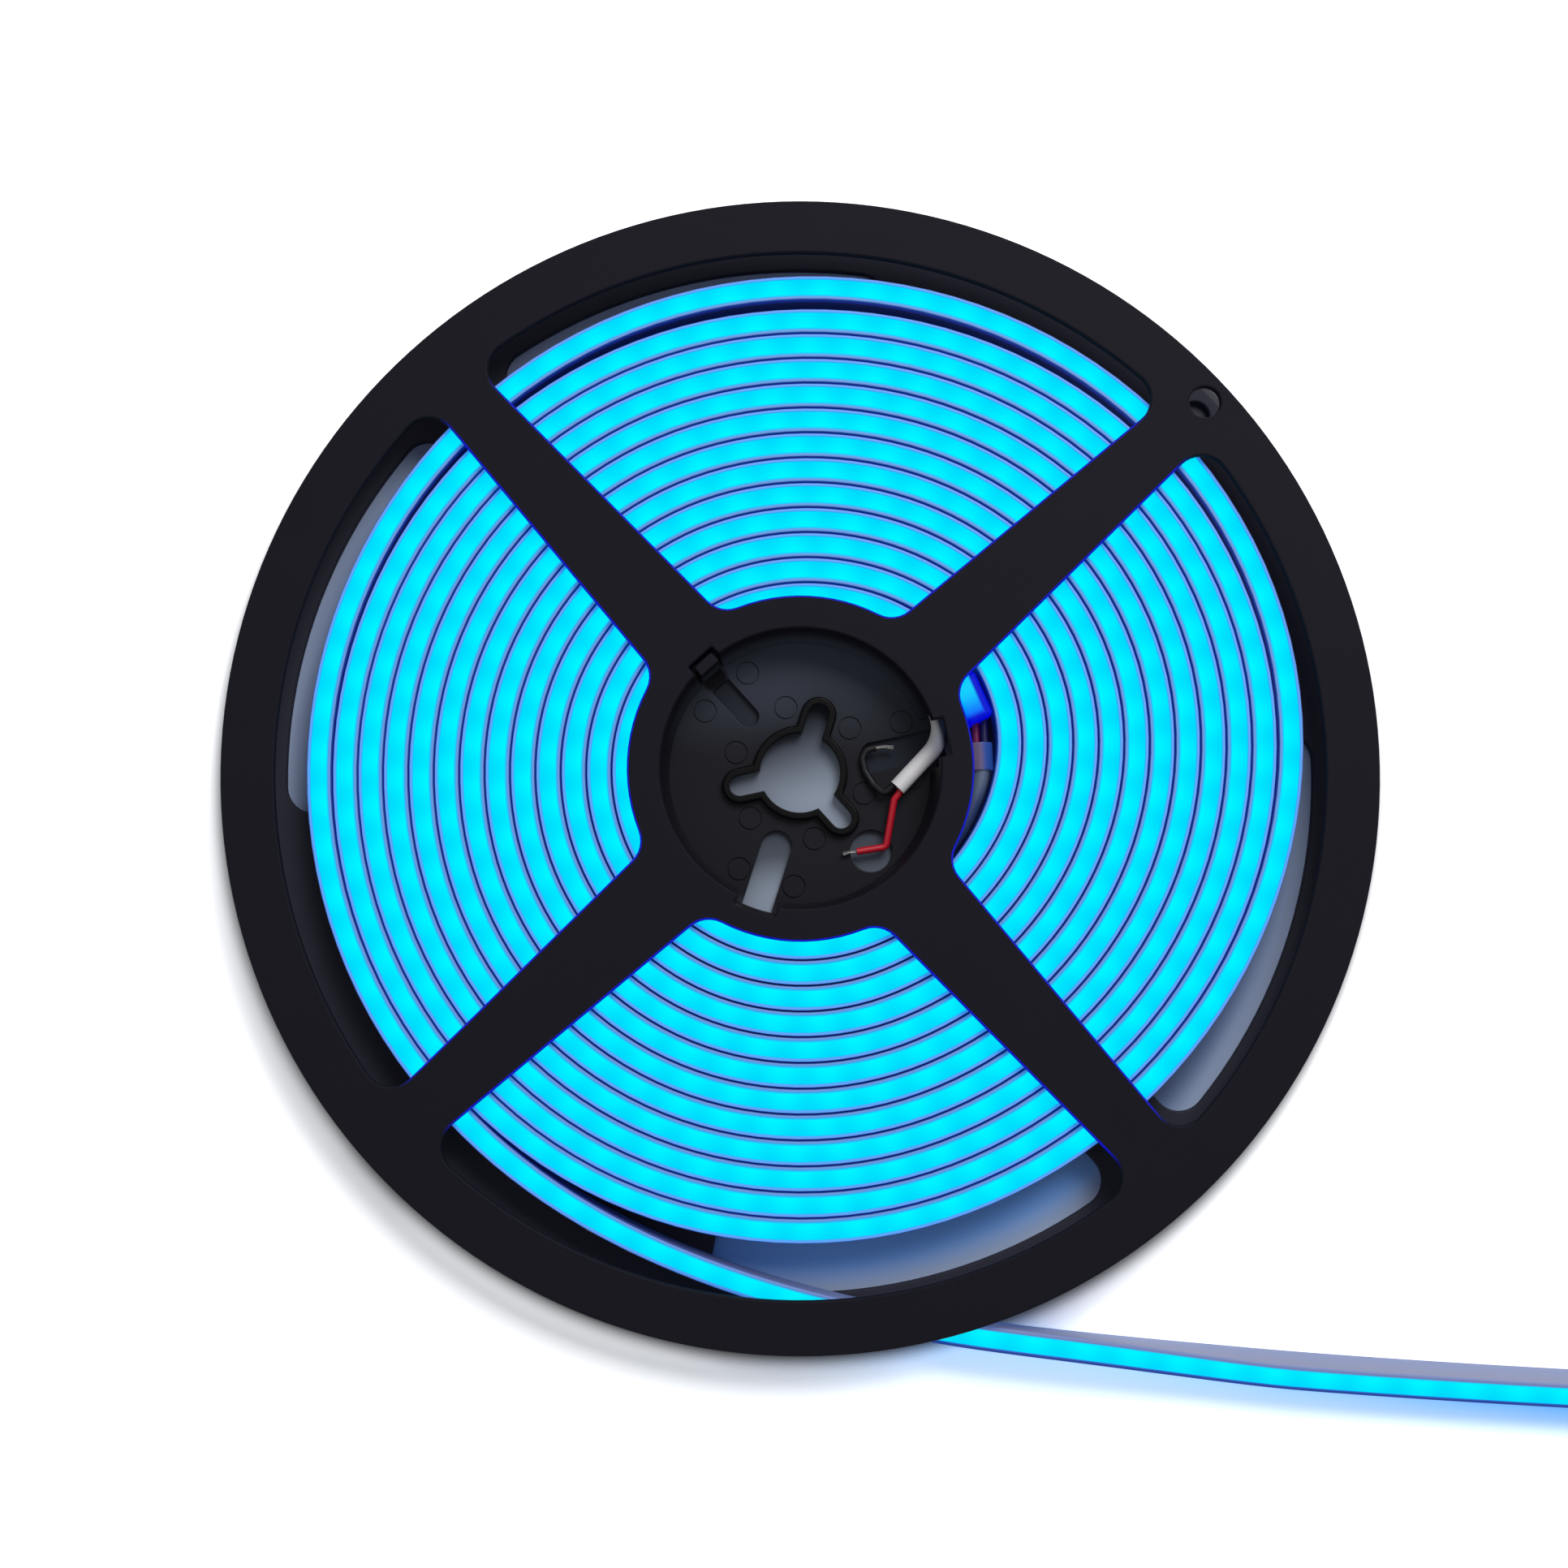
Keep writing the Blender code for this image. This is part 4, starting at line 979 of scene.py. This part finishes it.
def silicone_wall():
    """White silicone with painted deep-blue shade and glow between the turns. Along the free tail
    its inner side is pale and its outer side painted in shade, with a painted blue glow
    that lights the ground. Its lips carry a painted glow from the filling."""
    finish = Finish("silicone_wall_white", (0.2, 0.2, 0.26), 0.5, Emission_Strength=1.0)
    finish.set("Specular IOR Level", 0.3)
    side, up, free, run = (finish.field(name) for name in ("side", "up", "free", "run"))
    top = up.between(7.3 * MM, 7.95 * MM)
    outward = side.between(-0.1 * MM, 0.1 * MM)
    off_middle = finish.start.maths("ABSOLUTE", side)
    beside_filling = off_middle.between(1.7 * MM, 1.46 * MM)
    at_edge = off_middle.between(1.90 * MM, 2.04 * MM)
    # Painted glow: emission on the lips stands in for light from the filling, with a painted dark
    # line at the outer edge between turns
    lip = outward.mix((0.02, 0.19, 0.55), (0.01, 0.24, 0.78))
    lip = beside_filling.mix(lip, (0.0, 0.36, 0.80))
    lip = at_edge.mix(lip, (0.0, 0.03, 0.20))
    # Painted shade and glow: the walls between turns darken downwards to deep blue, and the free
    # tail's outer wall glows blue onto the ground
    wall = up.between(5.5 * MM, 7.5 * MM).mix((0.0, 0.002, 0.03), (0.0, 0.012, 0.22))
    inner_wall = up.between(1 * MM, 7 * MM).mix((0.03, 0.07, 0.22), (0.07, 0.09, 0.20))
    outer_wall = (0.0, 0.34, 0.88)
    free_lip = beside_filling.mix((0.0, 0.03, 0.24), (0.0, 0.16, 0.70))
    wound = top.mix(wall, lip)
    loose = top.mix(outward.mix(inner_wall, outer_wall), outward.mix((0.04, 0.09, 0.30), free_lip))
    finish.set("Emission Color", free.mix(wound, loose))
    # Painted shade: walls below the lips and beside the filling are painted darker than the lips,
    # and the free tail's outer side darker than its inner side
    base = (top * (1 - at_edge)).mix((0.04, 0.05, 0.09), (0.13, 0.13, 0.17))
    base = beside_filling.mix(base, (0.02, 0.05, 0.09))
    loose_base = outward.mix((0.17, 0.175, 0.22), (0.02, 0.03, 0.06))
    finish.set("Base Color", free.mix(base, loose_base))
    drawn = finish.start.node("CombineXYZ", {0: run * 12, 1: side * 2600, 2: up * 2600})
    finish.bump(finish.noise(drawn, 1.0, 1.0), 0.25, 0.05 * MM)
    return finish.material


def cap_silicone(name, middle, way, size):
    """A translucent cap with a painted glow, brightest near the strip, and painted deep-blue shade
    along its flank and at its far end.
    """
    finish = Finish(name, (0.0, 0.006, 0.03), 0.45, Emission_Strength=1.0)
    finish.set("Specular IOR Level", 0.1)
    x, y, *_ = finish.place()
    dx, dy = x - middle.x, y - middle.y
    along = (dx * way.x + dy * way.y) / size[0]
    across = (dy * way.x - dx * way.y) / size[1]
    # Painted glow and shade: emission brightest near the strip's end, painted deep-blue shade along
    # the flank and at the far end
    lit = along.between(-0.2, 0.4).mix((0.0, 0.62, 0.96), (0.0, 0.14, 1.0))
    shaded = finish.start.maths("MAXIMUM", across.between(0.14, 0.28), along.between(0.27, 0.42))
    finish.set("Emission Color", shaded.mix(lit, (0.0, 0.0, 0.60)))
    return finish.material


def plain(name, colour, roughness, **sockets):
    return Finish(name, colour, roughness, **sockets).material


def sheath_finish():
    """White sheath, with painted blue-grey light and shade beside the strip and a painted deep
    shade behind the collar.
    """
    finish = Finish("sheath_white", (0.68, 0.66, 0.67), 0.48)
    x, y, _, where = finish.place()
    # Painted shade: past the well's edge the sheath is painted near-black under the hub band, and
    # blue-grey, darker and bluer lower down, in the window beside the strip
    notch = AXIS + Vector((*on_circle(WELL_RADIUS, HUB_ANGLE), 0))
    at_notch = finish.distance(x, y, notch).between(10 * MM, 7 * MM)
    radius = finish.distance(x, y, AXIS)
    behind = (radius - at_notch * MM).between(WELL_RADIUS - 0.5 * MM, WELL_RADIUS + 0.8 * MM)
    beside_strip = y.between(AXIS.y - 7 * MM, AXIS.y - MM)
    beside_strip = beside_strip.mix((0.030, 0.055, 0.16), (0.11, 0.15, 0.23))
    in_window = radius.between(HUB_BAND_RADIUS - 3 * MM, HUB_BAND_RADIUS - MM)
    shaded = in_window.mix((0.004, 0.004, 0.007), beside_strip)
    finish.set("Base Color", behind.mix((0.68, 0.66, 0.67), shaded))
    finish.bump(finish.noise(where, 900), 0.1, 0.05 * MM)
    return finish.material


def sleeve_finish(middle):
    """Clear sleeve with a faint painted glow, pinkish towards the hub and blue towards the lit
    strip.
    """
    finish = Finish("sleeve_clear", (0.5, 0.45, 0.6), 0.2, Alpha=0.55, Emission_Strength=1.0)
    x, y, *_ = finish.place()
    outwards = finish.distance(x, y, AXIS) - (middle - AXIS).xy.length
    outwards = outwards.between(-0.4 * MM, 0.8 * MM)
    # Painted glow: the sleeve's colour and emission turn blue towards the lit strip
    finish.set("Base Color", outwards.mix((0.20, 0.15, 0.24), (0.03, 0.06, 0.20)))
    finish.set("Emission Color", outwards.mix((0.03, 0.02, 0.06), (0.01, 0.04, 0.20)))
    return finish.material


def show(piece, node, slot, finish):
    """Give a piece its finish and its place among the solids."""
    piece.data.materials.clear()
    piece.data.materials.append(finish)
    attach(piece, "root")
    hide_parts(node)
    return piece


def smooth(piece, weighted=True):
    pick(piece)
    bpy.ops.object.shade_smooth_by_angle(angle=SMOOTH_EDGE)
    if weighted:
        modify(piece, "WEIGHTED_NORMAL", weight=80, keep_sharp=True)
    return piece


# Picture: pale ground, soft light and the camera

def ground_paper():
    """Pale paper, clean white to the camera beyond the reel's edge. Below the reel it carries
    painted shade, painted light through the bore, keys and slots and a painted blue glow
    under the windows; a painted shadow band lines the rim and a painted blue glow lies below the
    tail.
    """
    finish = Finish("ground_paper", (0.8, 0.8, 0.8), 0.9)
    x, y, *_ = finish.place()
    radius = finish.distance(x, y, AXIS)
    most = finish.start.maths

    # Painted light and shade: the floor through the bore and keys is painted lighter towards the
    # bottom, and through the slots lighter at one spot and lower down
    in_bore = radius.between(*BORE_LIGHT)
    for turn in (-60 * DEG, 180 * DEG):
        key = AXIS + Vector((*on_circle(KEY_CENTRE_RADIUS, HUB_ANGLE + turn), 0))
        in_bore = most("MAXIMUM", in_bore, finish.distance(x, y, key).between(*KEY_LIGHT))
    bore_light = (y - AXIS.y - (x - AXIS.x) * 0.35).between(10 * MM, -9 * MM)
    slot_light = finish.distance(x, y, AXIS + SLOT_LIGHT_PLACE).between(*SLOT_LIGHT)
    lower_light = y.between(AXIS.y - 5 * MM, AXIS.y - 18 * MM) * 0.25
    slot_light = most("MAXIMUM", slot_light, lower_light)
    light = slot_light + (bore_light - slot_light) * in_bore
    below_hub = light.mix((0.03, 0.033, 0.045), (0.32, 0.37, 0.46))

    # Painted glow: under the windows the floor is painted blue, brightest beside the lower part of
    # the winding
    beside_winding = y.between(AXIS.y - 55 * MM, AXIS.y - 75 * MM)
    beside_winding = beside_winding.mix((0.14, 0.20, 0.36), (0.21, 0.46, 1.0))
    below_windows = radius.between(*WINDOW_FLOOR).mix(beside_winding, (0.36, 0.44, 0.62))
    below = radius.between(*UNDER_WINDOWS).mix(below_hub, below_windows)
    # Painted shade: the floor under the rim is painted dark
    below = radius.between(*UNDER_RIM).mix(below, (0.07, 0.07, 0.085))

    # Painted glow: a blue glow painted on the floor below the tail
    along = x - AXIS.x
    below_tail = TAIL_CROSSING.y + AXIS.y - y - (along - TAIL_CROSSING.x) * GLOW_SLOPE
    glow = below_tail.between(*GLOW_BELOW) * below_tail.between(*GLOW_ABOVE)
    glow = glow * along.between(*GLOW_START) * along.between(*GLOW_END)
    clear = glow.mix((2.0, 2.0, 2.02), (0.10, 0.90, 1.95))
    # Painted shadow: a dark band just beyond the rim fades to clean white
    paper = radius.between(*CLEAR_PAPER).mix(below, clear)

    camera, glossy, transmitted = (
        finish.start.node("LightPath", {}, output="Is %s Ray" % kind)
        for kind in ("Camera", "Glossy", "Transmission"))
    seen = most("MINIMUM", camera + glossy + transmitted, 1.0)
    matte = finish.start.node("BsdfDiffuse", {"Color": seen.mix((0.55, 0.55, 0.57), paper)})
    output = finish.tree.nodes["Material Output"]
    finish.tree.links.new(matte.socket, output.inputs["Surface"])
    return finish.material


def build_studio():
    deselect()
    bpy.ops.mesh.primitive_plane_add(size=6, location=(0, 0, 0))
    floor = settle(named("studio_floor"))
    floor.data.materials.append(ground_paper())

    world = bpy.data.worlds.new("studio_world")
    world.use_nodes = True
    background = world.node_tree.nodes["Background"]
    background.inputs["Color"].default_value = (0.96, 0.98, 1.0, 1)
    background.inputs["Strength"].default_value = 0.36
    bpy.context.scene.world = world

    for name, place, size, power in (("key_softbox", (0.28, 0.64, 0.90), 0.6, 9.0),
                                     ("fill_softbox", (-0.7, -0.3, 0.8), 0.9, 0.5)):
        deselect()
        bpy.ops.object.light_add(type="AREA", location=place)
        lamp = named(name)
        lamp.data.size = size
        lamp.data.energy = power
        lamp.rotation_euler = (-Vector(place)).to_track_quat("-Z", "Y").to_euler()


def build_camera():
    deselect()
    bpy.ops.object.camera_add(location=AXIS + CAMERA_PLACE)
    camera = named("picture_camera")
    look = CAMERA_LOOK.normalized()
    right = look.cross(CAMERA_UP).normalized()
    above = right.cross(look)
    camera.rotation_euler = Matrix((right, above, -look)).transposed().to_euler()
    camera.data.lens = CAMERA_LENS
    camera.data.sensor_width = CAMERA_SENSOR
    camera.data.clip_start = 0.01
    camera.data.clip_end = 20
    bpy.context.scene.camera = camera
    bpy.context.scene.view_settings.view_transform = "Standard"


def main():
    plastic = reel_plastic()
    for piece, node in ((upper_half(), "reel_upper_half"), (lower_half(), "reel_lower_half")):
        piece.location = AXIS
        settle(piece)
        smooth(clean(piece))
        piece.name = piece.data.name = node.replace("reel_", "moulded_")
        show(piece, node, "reel_plastic", plastic)

    route = strip_route()
    jacket = sweep("silicone_wall", route, jacket_section())
    filling = sweep("lit_filling", route, filling_section())
    show(smooth(jacket, weighted=False), "silicone_jacket", "jacket_silicone", silicone_wall())
    show(smooth(filling, weighted=False), "light_diffuser", "lit_silicone", lit_filling())
    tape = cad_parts["led_tape"]
    tape.data.materials.clear()
    tape.data.materials.append(plain("tape_white", (0.8, 0.8, 0.78), 0.5))

    inner, outer = cap_frames(route)
    for (middle, way, lean, size), node, slot, rounding in (
            (inner, "inner_end_cap", "cap_silicone", 0.9 * MM),
            (outer, "outer_end_cap", "jacket_silicone", 0.5 * MM)):
        cap = block("moulded_" + node, size, middle, heading(way), rounding, lean)
        show(smooth(cap), node, slot, cap_silicone(node + "_silicone", middle, way, size))

    finishes = {
        "sheath": sheath_finish(),
        # Painted shade and glow: the core stubs at the cap are darker copies of the cores, with a
        # faint painted blue glow
        "red_stub": plain("core_red_shaded", (0.13, 0.002, 0.02), 0.45,
                          Emission_Color=(0.012, 0.0, 0.03), Emission_Strength=1.0),
        "black_stub": plain("core_black_shaded", (0.006, 0.006, 0.02), 0.5,
                            Emission_Color=(0.001, 0.001, 0.035), Emission_Strength=1.0),
        "red": plain("core_red", (0.46, 0.004, 0.018), 0.4),
        "black": plain("core_black", (0.006, 0.006, 0.008), 0.5, Specular_IOR_Level=0.3),
        "tinned": plain("tinned_copper", (0.26, 0.25, 0.25), 0.3, Metallic=1.0)}
    middle, way, _, size = inner
    build_lead(middle + way * size[0] / 2, finishes)
    build_studio()
    build_camera()


main()
